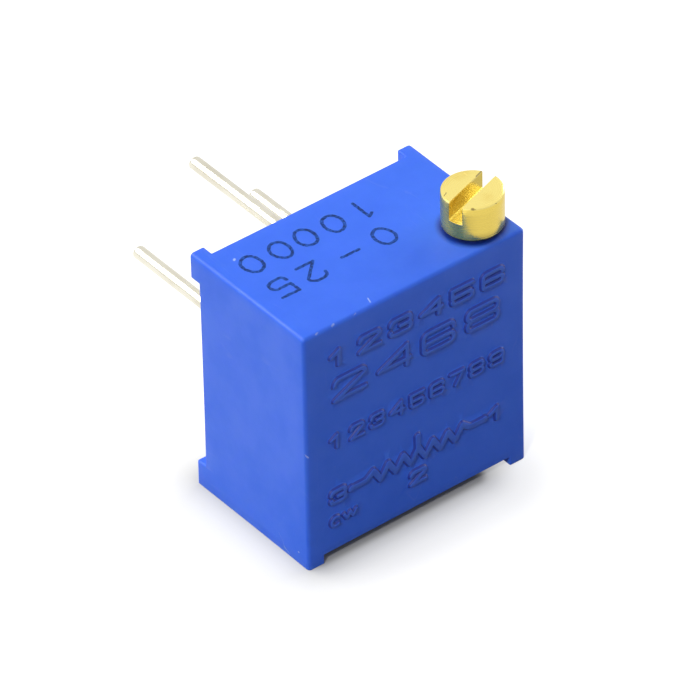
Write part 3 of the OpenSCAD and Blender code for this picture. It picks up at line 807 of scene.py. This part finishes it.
def makePin(name, material):
    x, z = pinPlaces[name]
    back, tip = pinBoxes[name][0].y, pinBoxes[name][1].y
    surface = frontY + body["depth"] - resin["depth"]
    seed = Vector((0, 0, 5 * z + x))
    rows = [(back, 0.0), (surface - 0.02, 0.0), (surface, 1.0)]
    steps = 60
    lean = pin["lean"] if x else 0.0
    length = tip - pin["tipRound"] - surface
    rows += [(surface + length * (i + 1) / steps, 1.0) for i in range(steps)]
    points, faces = [], []
    count = pin["columns"]

    def ringAt(y, blend, scale, slant):
        for k in range(count):
            a = 2 * math.pi * k / count
            ca, sa = math.cos(a), math.sin(a)
            square = pin["shank"] / max(abs(ca), abs(sa))
            r = square * (1 - blend) + pin["radius"] * blend
            wave = noise.noise(Vector((ca * 0.8, y * 0.9, sa * 0.8)) + seed)
            fine = noise.noise(Vector((ca * 2.5, y * 4, sa * 2.5)) + seed)
            r = (r - blend * (0.5 * pin["wave"] - pin["wave"] * wave * 0.5 - 0.002 * fine)) * scale
            drop = lean * smoothStep((y - surface) / 1.6)
            points.append((x + r * ca, y - slant * (1 + ca) / 2, z - drop + r * sa))

    for y, blend in rows:
        ringAt(y, blend, 1.0, pin["shear"] * smoothStep((y - tip + 0.6) / 0.6))
    for y, scale in ((tip - 0.01, 0.96), (tip, 0.88), (tip, 0.5), (tip, 0.15)):
        ringAt(y, 1.0, scale, pin["shear"])
    total = len(points) // count
    for i in range(total - 1):
        for k in range(count):
            j = (k + 1) % count
            a, b = i * count, (i + 1) * count
            faces.append([a + k, b + k, b + j, a + j])
    faces.append(list(range(count)))
    faces.append([(total - 1) * count + k for k in range(count)][::-1])
    piece = meshObject(name.replace("pin_", "tinned_pin_"), points, faces)
    with meshOf(piece) as bm:
        closeMesh(bm)
    finishPiece(piece, material, "housing", (name,), sharp=50, weighted=False)


# Potting resin with its raised rims at the walls and pins

resin = dict(depth=0.3, wallRise=0.09, wallReach=0.13, pinRise=0.14, pinReach=0.11, sag=0.035)


def resinSurface(x, z):
    halfX, z0, z1 = recessSpan()
    r = body["recessRadius"]
    dx = abs(x) - (halfX - r)
    dz = abs(z - (z0 + z1) / 2) - ((z1 - z0) / 2 - r)
    wall = r - math.hypot(max(dx, 0), max(dz, 0)) if max(dx, dz) > 0 else r - max(dx, dz)
    y = frontY + body["depth"] - resin["depth"]
    y += resin["wallRise"] * math.exp(-max(wall, 0) / resin["wallReach"])
    for px, pz in pinPlaces.values():
        away = math.hypot(x - px, z - pz) - pin["radius"]
        y += resin["pinRise"] * math.exp(-max(away, 0) / resin["pinReach"])
    y -= resin["sag"] * smoothStep(wall / 1.5)
    y += 0.012 * noise.noise(Vector((x * 0.9, z * 0.9, 3)))
    return y


def makeResin(material):
    halfX, z0, z1 = recessSpan()
    points, edges, loops = [], [], []
    for inset in (0, 0.05, 0.11, 0.19, 0.3, 0.45):
        radius = body["recessRadius"] - inset
        loops.append(roundedOutline(halfX - inset, z0 + inset, z1 - inset, radius, 14))
    for px, pz in pinPlaces.values():
        for gap in (-0.03, 0.02, 0.06, 0.11, 0.18, 0.3):
            loops.append(circleOutline(px, pz, pin["radius"] + gap, 32))
    for loop in loops:
        addLoop(points, edges, loop)
    for i in range(-20, 21):
        for j in range(0, 45):
            points.append((i * 0.2, z0 + j * 0.2 + 0.03 * math.sin(i)))
    inside = [p for p in points if abs(p[0]) <= halfX]
    places, triangles = triangulate(inside, edges)[:2]
    bm = bmesh.new()
    verts = [bm.verts.new((p.x, resinSurface(p.x, p.y), p.y)) for p in places]
    for triangle in triangles:
        bm.faces.new([verts[k] for k in triangle])
    dropLoose(bm)
    skirt = bmesh.ops.extrude_edge_only(bm, edges=rimOf(bm))["geom"]
    back = cadBox("potting")[0].y
    for v in skirt:
        if isinstance(v, bmesh.types.BMVert):
            v.co.y = back
    bmesh.ops.contextual_create(bm, geom=rimOf(bm))
    faceOutward(bm)
    piece = meshObject("potting_resin", [], [])
    bm.to_mesh(piece.data)
    bm.free()
    finishPiece(piece, material, "housing", ("potting",), sharp=60, weighted=False)
    print("stage: resin", len(piece.data.vertices), "points")


# Materials

def addNode(tree, kind, **values):
    node = tree.nodes.new(kind)
    for key, value in values.items():
        setattr(node, key, value)
    return node


def feed(tree, source, target):
    if hasattr(source, "default_value") or hasattr(source, "links"):
        tree.links.new(source, target)
    else:
        target.default_value = source


def mathNode(tree, operation, a, b=None, c=None, clamp=False):
    node = addNode(tree, "ShaderNodeMath", operation=operation, use_clamp=clamp)
    for value, socket in zip((a, b, c), node.inputs):
        if value is not None:
            feed(tree, value, socket)
    return node.outputs[0]


def times(tree, a, b):
    return mathNode(tree, "MULTIPLY", a, b)


def larger(tree, a, b):
    return mathNode(tree, "MAXIMUM", a, b)


def plus(tree, a, b):
    return mathNode(tree, "ADD", a, b)


def minus(tree, a, b):
    return mathNode(tree, "SUBTRACT", a, b)


def noiseNode(tree, vector, scale, detail=3.0, rough=0.55):
    node = addNode(tree, "ShaderNodeTexNoise")
    feed(tree, vector, node.inputs["Vector"])
    feed(tree, scale, node.inputs["Scale"])
    node.inputs["Detail"].default_value = detail
    node.inputs["Roughness"].default_value = rough
    return node.outputs["Fac"]


def rangeNode(tree, value, low, high, toLow=0.0, toHigh=1.0):
    node = addNode(tree, "ShaderNodeMapRange", interpolation_type="SMOOTHSTEP")
    for item, socket in zip((value, low, high, toLow, toHigh), node.inputs):
        feed(tree, item, socket)
    return node.outputs[0]


def mixColour(tree, share, first, second, blend="MIX"):
    node = addNode(tree, "ShaderNodeMix", data_type="RGBA", blend_type=blend)
    feed(tree, share, node.inputs["Factor"])
    feed(tree, first, node.inputs[6])
    feed(tree, second, node.inputs[7])
    return node.outputs[2]


def newGroup(name, inputs, outputs):
    tree = bpy.data.node_groups.new(name, "ShaderNodeTree")
    for label, kind, value in inputs:
        socket = tree.interface.new_socket(label, in_out="INPUT", socket_type=kind)
        if value is not None:
            socket.default_value = value
    for label, kind in outputs:
        tree.interface.new_socket(label, in_out="OUTPUT", socket_type=kind)
    return tree, addNode(tree, "NodeGroupInput"), addNode(tree, "NodeGroupOutput")


# Fine grain of a moulded or cast surface: a height for the bump and a soft mottle
def grainGroup():
    tree, start, end = newGroup(
        "surfaceGrain",
        [("Vector", "NodeSocketVector", None), ("Scale", "NodeSocketFloat", 1.0),
         ("Mottle Scale", "NodeSocketFloat", 1.0)],
        [("Height", "NodeSocketFloat"), ("Mottle", "NodeSocketFloat")],
    )
    vector, scale = start.outputs["Vector"], start.outputs["Scale"]
    fine = noiseNode(tree, vector, times(tree, scale, 14000.0), 4.0, 0.6)
    pits = addNode(tree, "ShaderNodeTexVoronoi", feature="SMOOTH_F1")
    feed(tree, vector, pits.inputs["Vector"])
    feed(tree, times(tree, scale, 9000.0), pits.inputs["Scale"])
    height = plus(tree, times(tree, fine, 0.6), times(tree, pits.outputs["Distance"], 0.4))
    mottle = noiseNode(tree, vector, times(tree, start.outputs["Mottle Scale"], 700.0), 5.0, 0.6)
    tree.links.new(height, end.inputs["Height"])
    tree.links.new(mottle, end.inputs["Mottle"])
    return tree


# Hair scratches and specks of handling
def scuffGroup():
    tree, start, end = newGroup(
        "handlingScuffs",
        [("Vector", "NodeSocketVector", None), ("Amount", "NodeSocketFloat", 0.5),
         ("Scale", "NodeSocketFloat", 1.0)],
        [("Scratches", "NodeSocketFloat"), ("Specks", "NodeSocketFloat")],
    )
    vector, scale = start.outputs["Vector"], start.outputs["Scale"]
    lines = None
    for turn, stretch, width in ((0.6, 900.0, 0.006), (2.1, 1300.0, 0.005), (1.2, 700.0, 0.007)):
        place = addNode(tree, "ShaderNodeMapping")
        feed(tree, vector, place.inputs["Vector"])
        place.inputs["Rotation"].default_value = (turn, 0.7 * turn, 1.9 * turn)
        place.inputs["Scale"].default_value = (stretch, 0.06 * stretch, 0.2 * stretch)
        wave = noiseNode(tree, place.outputs["Vector"], scale, 2.0, 0.5)
        line = rangeNode(tree, mathNode(tree, "ABSOLUTE", minus(tree, wave, 0.5)), 0.0, width, 1.0, 0.0)
        patch = rangeNode(tree, noiseNode(tree, vector, 420.0 + 100 * turn, 2.0), 0.56, 0.68)
        line = times(tree, line, patch)
        lines = line if lines is None else larger(tree, lines, line)
    specks = addNode(tree, "ShaderNodeTexVoronoi")
    feed(tree, vector, specks.inputs["Vector"])
    feed(tree, times(tree, scale, 1500.0), specks.inputs["Scale"])
    near = rangeNode(tree, specks.outputs["Distance"], 0.03, 0.07, 1.0, 0.0)
    rare = rangeNode(tree, specks.outputs["Color"], 0.86, 0.9)
    speck = times(tree, near, rare)
    amount = start.outputs["Amount"]
    tree.links.new(times(tree, lines, amount), end.inputs["Scratches"])
    tree.links.new(times(tree, speck, amount), end.inputs["Specks"])
    return tree


# One short scratch or nick between two points
def nickGroup():
    tree, start, end = newGroup(
        "smallNick",
        [("Vector", "NodeSocketVector", None), ("Start", "NodeSocketVector", None),
         ("End", "NodeSocketVector", None), ("Width", "NodeSocketFloat", 3e-5)],
        [("Mask", "NodeSocketFloat")],
    )

    def vectorNode(operation, *items):
        node = addNode(tree, "ShaderNodeVectorMath", operation=operation)
        for item, socket in zip(items, node.inputs):
            tree.links.new(item, socket)
        return node

    along = vectorNode("SUBTRACT", start.outputs["End"], start.outputs["Start"]).outputs[0]
    offset = vectorNode("SUBTRACT", start.outputs["Vector"], start.outputs["Start"]).outputs[0]
    reach = vectorNode("DOT_PRODUCT", offset, along).outputs["Value"]
    whole = vectorNode("DOT_PRODUCT", along, along).outputs["Value"]
    share = mathNode(tree, "DIVIDE", reach, whole, clamp=True)
    step = addNode(tree, "ShaderNodeVectorMath", operation="SCALE")
    tree.links.new(along, step.inputs[0])
    tree.links.new(share, step.inputs["Scale"])
    away = vectorNode("DISTANCE", offset, step.outputs[0]).outputs["Value"]
    ragged = noiseNode(tree, start.outputs["Vector"], 30000.0, 2.0)
    width = times(tree, start.outputs["Width"], plus(tree, ragged, 0.4))
    tree.links.new(rangeNode(tree, away, times(tree, width, 0.4), width, 1.0, 0.0), end.inputs["Mask"])
    return tree


grain = grainGroup()
scuffs = scuffGroup()
nick = nickGroup()


def startMaterial(name, colour, roughness, metallic=0.0):
    material = bpy.data.materials.new(name)
    material.use_nodes = True
    tree = material.node_tree
    shader = tree.nodes["Principled BSDF"]
    shader.inputs["Base Color"].default_value = (*colour, 1)
    shader.inputs["Roughness"].default_value = roughness
    shader.inputs["Metallic"].default_value = metallic
    place = addNode(tree, "ShaderNodeTexCoord").outputs["Object"]
    return material, tree, shader, place


def useGroup(tree, group, vector, **values):
    node = addNode(tree, "ShaderNodeGroup", node_tree=group)
    tree.links.new(vector, node.inputs["Vector"])
    for key, value in values.items():
        node.inputs[key].default_value = value
    return node.outputs


# All the nicks of one piece, as one mask
def nickMask(tree, place, nicks):
    total = None
    for start, end, width in nicks:
        node = useGroup(tree, nick, place, Start=Vector(start) * mm, End=Vector(end) * mm, Width=width * mm)
        total = node["Mask"] if total is None else larger(tree, total, node["Mask"])
    return total


def bumpInto(tree, shader, height, distance, strength=1.0):
    bump = addNode(tree, "ShaderNodeBump")
    bump.inputs["Strength"].default_value = strength
    bump.inputs["Distance"].default_value = distance
    tree.links.new(height, bump.inputs["Height"])
    tree.links.new(bump.outputs["Normal"], shader.inputs["Normal"])


# Tones of the moulding. The raised tops of the marks take their grey matte finish darkened further by painted
# shade; the slope tone is painted shade on the walls and feet of the marks; the ring tone round the screw is a
# painted shadow of its head.
plastic = dict(
    colour=(0.034, 0.162, 0.90), dark=(0.030, 0.150, 0.86), relief=(0.060, 0.140, 0.60),
    worn=(0.45, 0.56, 0.92), slope=(0.001, 0.020, 0.28), screwShadow=(0.001, 0.010, 0.16),
    reliefShare=0.55, slopeShadeShare=0.88, screwShadowShare=0.9, screwShadowStart=1.0, screwShadowEnd=1.36,
    roughness=0.45, rough=(0.40, 0.50), reliefRough=0.2, scuffs=0.05, nickShare=0.8, scratchDepth=0.8,
    grainBump=3e-6, gloss=0.45, glow=0.5, glowDepth=0.00007, glowRadius=(0.3, 0.5, 1.0),
)


# Start, end and width of the nicks on the moulding
plasticNicks = [
    ((-4.19, -6.00, 10.00), (-4.10, -5.98, 10.03), 0.06), ((-3.50, -6.00, 10.01), (-3.42, -5.96, 10.03), 0.07),
    ((-2.60, -6.01, 10.00), (-2.48, -5.97, 10.02), 0.05), ((-1.68, -5.60, 10.03), (-1.75, -5.82, 10.02), 0.035),
    ((-3.80, -1.10, 10.03), (-3.84, -1.13, 10.03), 0.07), ((-4.76, -5.95, 5.08), (-4.66, -6.02, 4.95), 0.045),
    ((-1.24, -3.58, 9.98), (-0.95, -3.67, 9.98), 0.018), ((-4.73, -4.38, 0.68), (-4.73, -4.59, 0.47), 0.03),
    ((-4.73, -4.59, 0.47), (-4.74, -4.68, 0.24), 0.03), ((-4.74, -4.68, 0.24), (-4.74, -4.97, 0.12), 0.035),
    ((-4.75, -5.48, 0.53), (-4.75, -5.46, 0.53), 0.05),
]


# Places round the screw's axis, and the distance from it
def aroundScrew(tree, place):
    centre = addNode(tree, "ShaderNodeVectorMath", operation="SUBTRACT")
    tree.links.new(place, centre.inputs[0])
    centre.inputs[1].default_value = (screwX * mm, screwY * mm, 0)
    parts = addNode(tree, "ShaderNodeSeparateXYZ")
    tree.links.new(centre.outputs[0], parts.inputs[0])
    flat = addNode(tree, "ShaderNodeCombineXYZ")
    tree.links.new(parts.outputs["X"], flat.inputs["X"])
    tree.links.new(parts.outputs["Y"], flat.inputs["Y"])
    radius = addNode(tree, "ShaderNodeVectorMath", operation="LENGTH")
    tree.links.new(flat.outputs[0], radius.inputs[0])
    return parts.outputs, radius.outputs["Value"]


def bluePlastic():
    look = plastic
    material, tree, shader, place = startMaterial("blue_plastic", look["colour"], look["roughness"])
    fine = useGroup(tree, grain, place, Scale=1.0)
    wear = useGroup(tree, scuffs, place, Amount=look["scuffs"])
    shader.inputs["Specular IOR Level"].default_value = look["gloss"]
    shader.inputs["Subsurface Weight"].default_value = look["glow"]
    shader.inputs["Subsurface Scale"].default_value = look["glowDepth"]
    shader.inputs["Subsurface Radius"].default_value = look["glowRadius"]
    mottle = rangeNode(tree, fine["Mottle"], 0.3, 0.7)
    tone = mixColour(tree, mottle, (*look["colour"], 1), (*look["dark"], 1))
    relief = addNode(tree, "ShaderNodeAttribute", attribute_name="relief").outputs["Fac"]
    # The raised tops of the marks: their grey matte finish, darkened further as painted shade
    raised = rangeNode(tree, relief, 0.85, 1.0, 0.0, look["reliefShare"])
    tone = mixColour(tree, raised, tone, (*look["relief"], 1))
    # Painted shade: the walls and feet of the raised marks are darkened towards the slope tone
    rising = rangeNode(tree, relief, 0.0, 0.2)
    slope = times(tree, rising, rangeNode(tree, relief, 0.75, 1.0, look["slopeShadeShare"], 0.0))
    tone = mixColour(tree, slope, tone, (*look["slope"], 1))
    parts, radius = aroundScrew(tree, place)
    # Painted shadow: a dark ring on the top round the foot of the screw head, where the head shades the
    # moulding
    screwShadow = rangeNode(tree, radius, look["screwShadowStart"] * mm, look["screwShadowEnd"] * mm, look["screwShadowShare"], 0.0)
    screwShadow = times(tree, screwShadow, rangeNode(tree, parts["Z"], (topZ - 0.15) * mm, (topZ - 0.08) * mm))
    tone = mixColour(tree, screwShadow, tone, (*look["screwShadow"], 1))
    marks = larger(tree, wear["Scratches"], wear["Specks"])
    marks = larger(tree, marks, times(tree, nickMask(tree, place, plasticNicks), look["nickShare"]))
    tone = mixColour(tree, marks, tone, (*look["worn"], 1))
    tree.links.new(tone, shader.inputs["Base Color"])
    rough = rangeNode(tree, fine["Mottle"], 0.25, 0.75, *look["rough"])
    rough = plus(tree, rough, times(tree, raised, look["reliefRough"]))
    tree.links.new(rough, shader.inputs["Roughness"])
    height = minus(tree, fine["Height"], times(tree, wear["Scratches"], look["scratchDepth"]))
    bumpInto(tree, shader, height, look["grainBump"])
    return material


ink = dict(
    colour=(0.012, 0.04, 0.18), roughness=0.55, gloss=0.15, bump=3e-6,
    thick=(0.008, 0.026, 0.12), thin=(0.024, 0.110, 0.56), patchScale=9000.0,
)


def navyInk():
    material, tree, shader, place = startMaterial("navy_ink", ink["colour"], ink["roughness"])
    shader.inputs["Specular IOR Level"].default_value = ink["gloss"]
    fine = useGroup(tree, grain, place, Scale=1.3)
    thin = rangeNode(tree, noiseNode(tree, place, ink["patchScale"], 4.0, 0.7), 0.35, 0.72)
    tone = mixColour(tree, thin, (*ink["thick"], 1), (*ink["thin"], 1))
    tree.links.new(tone, shader.inputs["Base Color"])
    bumpInto(tree, shader, fine["Height"], ink["bump"])
    return material


# The side, wall and floor tones are painted light: darker brass on the turned side and the slot walls as
# painted shade, brighter brass on the slot floor as a painted highlight.
brass = dict(
    colour=(0.93, 0.77, 0.24), dark=(0.78, 0.58, 0.14), side=(0.93, 0.71, 0.15),
    wall=(0.66, 0.49, 0.07), floor=(0.98, 0.87, 0.36), mark=(0.20, 0.13, 0.05), roughness=0.22,
    rough=(0.16, 0.30), stainRough=0.12, scuffs=0.8, nickShare=0.75, turningScale=26000.0, bump=3.5e-6,
)


# Start, end and width of the nicks on the screw
brassNicks = [
    ((4.07, -4.30, 11.54), (4.40, -4.18, 11.54), 0.045), ((2.84, -5.59, 11.52), (2.86, -5.62, 11.52), 0.07),
    ((2.86, -5.64, 11.50), (3.70, -5.84, 11.50), 0.022), ((2.55, -4.45, 11.54), (2.72, -4.36, 11.54), 0.03),
]


# Masks of the turned side, the walls of the slot and the floor of the slot. The side and the walls take darker
# tones as painted shade and the floor a brighter tone as a painted highlight.
def screwPaintedLightZones(tree, place, radius):
    turn = math.radians(screw["slotTurn"])
    across = times(tree, place["Y"], math.cos(turn))
    across = mathNode(tree, "MULTIPLY_ADD", place["X"], -math.sin(turn), across)
    half = (screw["slotWidth"] / 2 + 0.008) * mm
    between = mathNode(tree, "LESS_THAN", mathNode(tree, "ABSOLUTE", across), half)
    low, top, head = screwHigh.z - screw["slotDepth"], screwHigh.z, screw["headRadius"]
    above = rangeNode(tree, place["Z"], (low + 0.02) * mm, (low + 0.07) * mm)
    below = rangeNode(tree, place["Z"], (top - 0.10) * mm, (top - 0.02) * mm, 1.0, 0.0)
    wall = times(tree, between, times(tree, above, below))
    inSlot = mathNode(tree, "GREATER_THAN", place["Z"], (low - 0.01) * mm)
    onFloor = times(tree, between, times(tree, inSlot, minus(tree, 1.0, above)))
    side = rangeNode(tree, radius, (head - 0.04) * mm, (head - 0.015) * mm)
    side = times(tree, side, rangeNode(tree, place["Z"], (top - 0.09) * mm, (top - 0.05) * mm, 1.0, 0.0))
    return side, wall, onFloor


def turnedBrass():
    material, tree, shader, place = startMaterial("turned_brass", brass["colour"], brass["roughness"], 1.0)
    fine = useGroup(tree, grain, place, Scale=1.6)
    wear = useGroup(tree, scuffs, place, Amount=brass["scuffs"], Scale=1.4)
    parts, radius = aroundScrew(tree, place)
    track = plus(tree, radius, parts["Z"])
    lathe = addNode(tree, "ShaderNodeTexNoise", noise_dimensions="1D")
    tree.links.new(times(tree, track, brass["turningScale"]), lathe.inputs["W"])
    lathe.inputs["Scale"].default_value = 1.0
    lathe.inputs["Detail"].default_value = 4.0
    lines = lathe.outputs["Fac"]
    stain = rangeNode(tree, fine["Mottle"], 0.5, 0.85)
    tone = mixColour(tree, stain, (*brass["colour"], 1), (*brass["dark"], 1))
    # Painted shade on the side and the slot walls, painted highlight on the slot floor
    for zone, name in zip(screwPaintedLightZones(tree, parts, radius), ("side", "wall", "floor")):
        tone = mixColour(tree, zone, tone, (*brass[name], 1))
    marks = larger(tree, wear["Specks"], times(tree, nickMask(tree, place, brassNicks), brass["nickShare"]))
    tone = mixColour(tree, marks, tone, (*brass["mark"], 1))
    tree.links.new(tone, shader.inputs["Base Color"])
    rough = rangeNode(tree, lines, 0.3, 0.7, *brass["rough"])
    rough = plus(tree, rough, times(tree, stain, brass["stainRough"]))
    tree.links.new(rough, shader.inputs["Roughness"])
    height = plus(tree, lines, times(tree, fine["Height"], 0.5))
    height = minus(tree, height, wear["Scratches"])
    bumpInto(tree, shader, height, brass["bump"])
    return material


# Metals and other small parts share one recipe. Each row has its colour, its dark colour, its range of
# roughness, metallic, the height of the bump, the amount of wear and the scale of the grain.
finishes = {
    "tinned_metal": ((0.76, 0.73, 0.62), (0.66, 0.62, 0.51), (0.10, 0.22), 1.0, 5e-6, 0.7, 1.0),
    "solder": ((0.74, 0.74, 0.73), (0.55, 0.55, 0.54), (0.15, 0.35), 1.0, 4e-6, 0.2, 0.6),
    "clip_steel": ((0.62, 0.62, 0.63), (0.46, 0.46, 0.47), (0.22, 0.4), 1.0, 3e-6, 0.6, 1.2),
    "contact_metal": ((0.80, 0.66, 0.38), (0.62, 0.48, 0.24), (0.18, 0.34), 1.0, 2e-6, 0.6, 1.4),
    "silver_film": ((0.78, 0.77, 0.75), (0.62, 0.60, 0.56), (0.38, 0.6), 0.9, 4e-6, 0.1, 0.9),
    "track_film": ((0.022, 0.020, 0.020), (0.012, 0.012, 0.012), (0.45, 0.65), 0.0, 4e-6, 0.3, 1.1),
    "alumina": ((0.86, 0.85, 0.81), (0.80, 0.78, 0.72), (0.5, 0.7), 0.0, 5e-6, 0.1, 1.0),
    "wheel_plastic": ((0.82, 0.80, 0.72), (0.76, 0.73, 0.64), (0.4, 0.55), 0.0, 4e-6, 0.2, 0.9),
    "seal_rubber": ((0.012, 0.012, 0.012), (0.02, 0.02, 0.02), (0.5, 0.72), 0.0, 6e-6, 0.2, 1.2),
    "potting_resin": ((0.72, 0.62, 0.40), (0.62, 0.50, 0.29), (0.16, 0.34), 0.0, 8e-6, 0.35, 0.35),
}
finishDetail = dict(stain=(0.35, 0.75), spotShade=0.35, scratchDepth=0.7)


def simpleFinish(name):
    colour, dark, (smooth, rough), metallic, bump, worn, scale = finishes[name]
    material, tree, shader, place = startMaterial(name, colour, (smooth + rough) / 2, metallic)
    fine = useGroup(tree, grain, place, Scale=scale)
    wear = useGroup(tree, scuffs, place, Amount=worn)
    stain = rangeNode(tree, fine["Mottle"], *finishDetail["stain"])
    tone = mixColour(tree, stain, (*colour, 1), (*dark, 1))
    spot = tuple(finishDetail["spotShade"] * c for c in dark)
    tone = mixColour(tree, wear["Specks"], tone, (*spot, 1))
    tree.links.new(tone, shader.inputs["Base Color"])
    tree.links.new(rangeNode(tree, fine["Mottle"], 0.3, 0.7, smooth, rough), shader.inputs["Roughness"])
    height = minus(tree, fine["Height"], times(tree, wear["Scratches"], finishDetail["scratchDepth"]))
    bumpInto(tree, shader, height, bump)
    return material


nodeFinish = {
    "screw_oring": "seal_rubber", "retaining_clip": "clip_steel", "rotor_gear": "wheel_plastic",
    "wiper": "contact_metal", "ceramic_base": "alumina", "resistive_track": "track_film",
    "conductor_1": "silver_film", "conductor_2": "silver_film", "conductor_3": "silver_film",
    "solder_1": "solder", "solder_2": "solder", "solder_3": "solder",
}
made = {name: simpleFinish(name) for name in finishes}
for nodeName, finish in nodeFinish.items():
    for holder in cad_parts[nodeName].material_slots:
        holder.material = made[finish]
print("stage: materials")

makeHousing(bluePlastic())
makeInk(navyInk())
makeScrew(turnedBrass())
for pinName in pinPlaces:
    makePin(pinName, made["tinned_metal"])
makeResin(made["potting_resin"])


# Floor, world and lamps

# The floor's glow for camera rays is lowered near the body along the rise curve, a painted contact shadow; the
# insets draw it in by its own amount on each side.
studio = dict(
    floorSize=1.2, floorColour=0.32, lift=0.90, reach=0.0034,
    shadowInsets=dict(left=0.7, right=2.1, front=0.4, back=0.3),
    rise=((0.0, 0.02), (0.09, 0.07), (0.118, 0.15), (0.19, 0.39), (0.26, 0.50), (0.33, 0.60), (0.40, 0.67),
          (0.47, 0.73), (0.62, 0.81), (0.765, 0.89), (1.0, 1.0)),
    # Painted reflection: levels of the floor's glow in reflections, brighter on the key lamp's side and far
    # from the body
    mirrored=0.22, reflectionGlowKeySide=1.0, reflectionGlowFar=0.62, keyEdge=(-0.006, 0.007), farEdge=(0.005, 0.014),
    ambient=0.07,
)


# Distance on the floor from the outline of the body, drawn in by its own amount on each side; it shapes the
# painted shadow round the body
def awayFromBody(tree, parts):
    gaps = addNode(tree, "ShaderNodeCombineXYZ")
    inset = studio["shadowInsets"]
    sides = (
        ("X", -halfWidth + inset["left"], halfWidth - inset["right"]),
        ("Y", frontY + inset["front"], feetY - inset["back"]),
    )
    for axis, low, high in sides:
        below = minus(tree, low * mm, parts.outputs[axis])
        above = minus(tree, parts.outputs[axis], high * mm)
        tree.links.new(larger(tree, larger(tree, below, above), 0.0), gaps.inputs[axis])
    length = addNode(tree, "ShaderNodeVectorMath", operation="LENGTH")
    tree.links.new(gaps.outputs[0], length.inputs[0])
    return length.outputs["Value"]


def curveNode(tree, value, stops):
    node = addNode(tree, "ShaderNodeFloatCurve")
    points = node.mapping.curves[0].points
    for place, level in stops[1:-1]:
        points.new(place, level)
    points[0].location, points[-1].location = stops[0], stops[-1]
    node.mapping.update()
    feed(tree, value, node.inputs["Value"])
    return node.outputs[0]


def makeFloor():
    half = studio["floorSize"] / 2
    corners = [(-half, -half, 0), (half, -half, 0), (half, half, 0), (-half, half, 0)]
    floor = meshObject("studioFloor", corners, [[0, 1, 2, 3]])
    material = bpy.data.materials.new("studio_floor")
    material.use_nodes = True
    tree = material.node_tree
    tree.nodes.clear()
    output = addNode(tree, "ShaderNodeOutputMaterial")
    diffuse = addNode(tree, "ShaderNodeBsdfDiffuse")
    grey = studio["floorColour"]
    diffuse.inputs["Color"].default_value = (grey, grey, grey, 1)
    glow = addNode(tree, "ShaderNodeEmission")
    path = addNode(tree, "ShaderNodeLightPath")
    place = addNode(tree, "ShaderNodeTexCoord").outputs["Object"]
    parts = addNode(tree, "ShaderNodeSeparateXYZ")
    tree.links.new(place, parts.inputs[0])
    away = awayFromBody(tree, parts)
    # Painted shadow: the floor's glow dips towards the body
    share = mathNode(tree, "MINIMUM", mathNode(tree, "DIVIDE", away, studio["reach"]), 1.0)
    lift = times(tree, curveNode(tree, share, studio["rise"]), studio["lift"])
    # Painted reflection: in reflections the floor glows brighter on the key lamp's side and far from the body
    # than near it on the other side
    keySide = minus(tree, parts.outputs["Y"], parts.outputs["X"])
    level = rangeNode(tree, keySide, *studio["keyEdge"], studio["mirrored"], studio["reflectionGlowKeySide"])
    far = rangeNode(tree, away, *studio["farEdge"], studio["mirrored"], studio["reflectionGlowFar"])
    level = larger(tree, level, far)
    mirrored = larger(tree, path.outputs["Is Glossy Ray"], path.outputs["Is Transmission Ray"])
    seen = larger(tree, path.outputs["Is Camera Ray"], times(tree, mirrored, level))
    tree.links.new(times(tree, lift, seen), glow.inputs["Strength"])
    both = addNode(tree, "ShaderNodeAddShader")
    tree.links.new(diffuse.outputs[0], both.inputs[0])
    tree.links.new(glow.outputs[0], both.inputs[1])
    tree.links.new(both.outputs[0], output.inputs["Surface"])
    floor.data.materials.append(material)


def makeWorld():
    world = bpy.data.worlds.new("studioWorld")
    bpy.context.scene.world = world
    world.use_nodes = True
    tree = world.node_tree
    back = tree.nodes["Background"]
    path = addNode(tree, "ShaderNodeLightPath")
    seen = larger(tree, path.outputs["Is Camera Ray"], path.outputs["Is Glossy Ray"])
    seen = larger(tree, seen, path.outputs["Is Transmission Ray"])
    strength = rangeNode(tree, seen, 0.0, 1.0, studio["ambient"], 1.0)
    back.inputs["Color"].default_value = (1, 1, 1, 1)
    tree.links.new(strength, back.inputs["Strength"])


# Each lamp by its direction from the part, its distance, its size and its level on a surface that faces it
lamps = {
    "keyLamp": dict(direction=(-0.46, 0.62, 0.63), distance=0.35, size=0.26, level=0.84),
    "frontLamp": dict(direction=(-0.60, -0.38, 0.70), distance=0.40, size=0.05, level=0.50),
    "rightLamp": dict(direction=(0.96, 0.12, 0.24), distance=0.35, size=0.25, level=0.80),
}


def makeLamps():
    target = Vector((0, -3.0, 5.0)) * mm
    for name, lamp in lamps.items():
        data = bpy.data.lights.new(name, "AREA")
        data.shape = "SQUARE"
        data.size = lamp["size"]
        data.energy = lamp["level"] * math.pi ** 2 * lamp["distance"] ** 2
        item = bpy.data.objects.new(name, data)
        bpy.context.scene.collection.objects.link(item)
        toward = Vector(lamp["direction"]).normalized()
        item.location = target + toward * lamp["distance"]
        item.rotation_euler = toward.to_track_quat("Z", "Y").to_euler()


makeFloor()
makeWorld()
makeLamps()
bpy.context.scene.view_settings.view_transform = "Standard"
print("stage: studio")
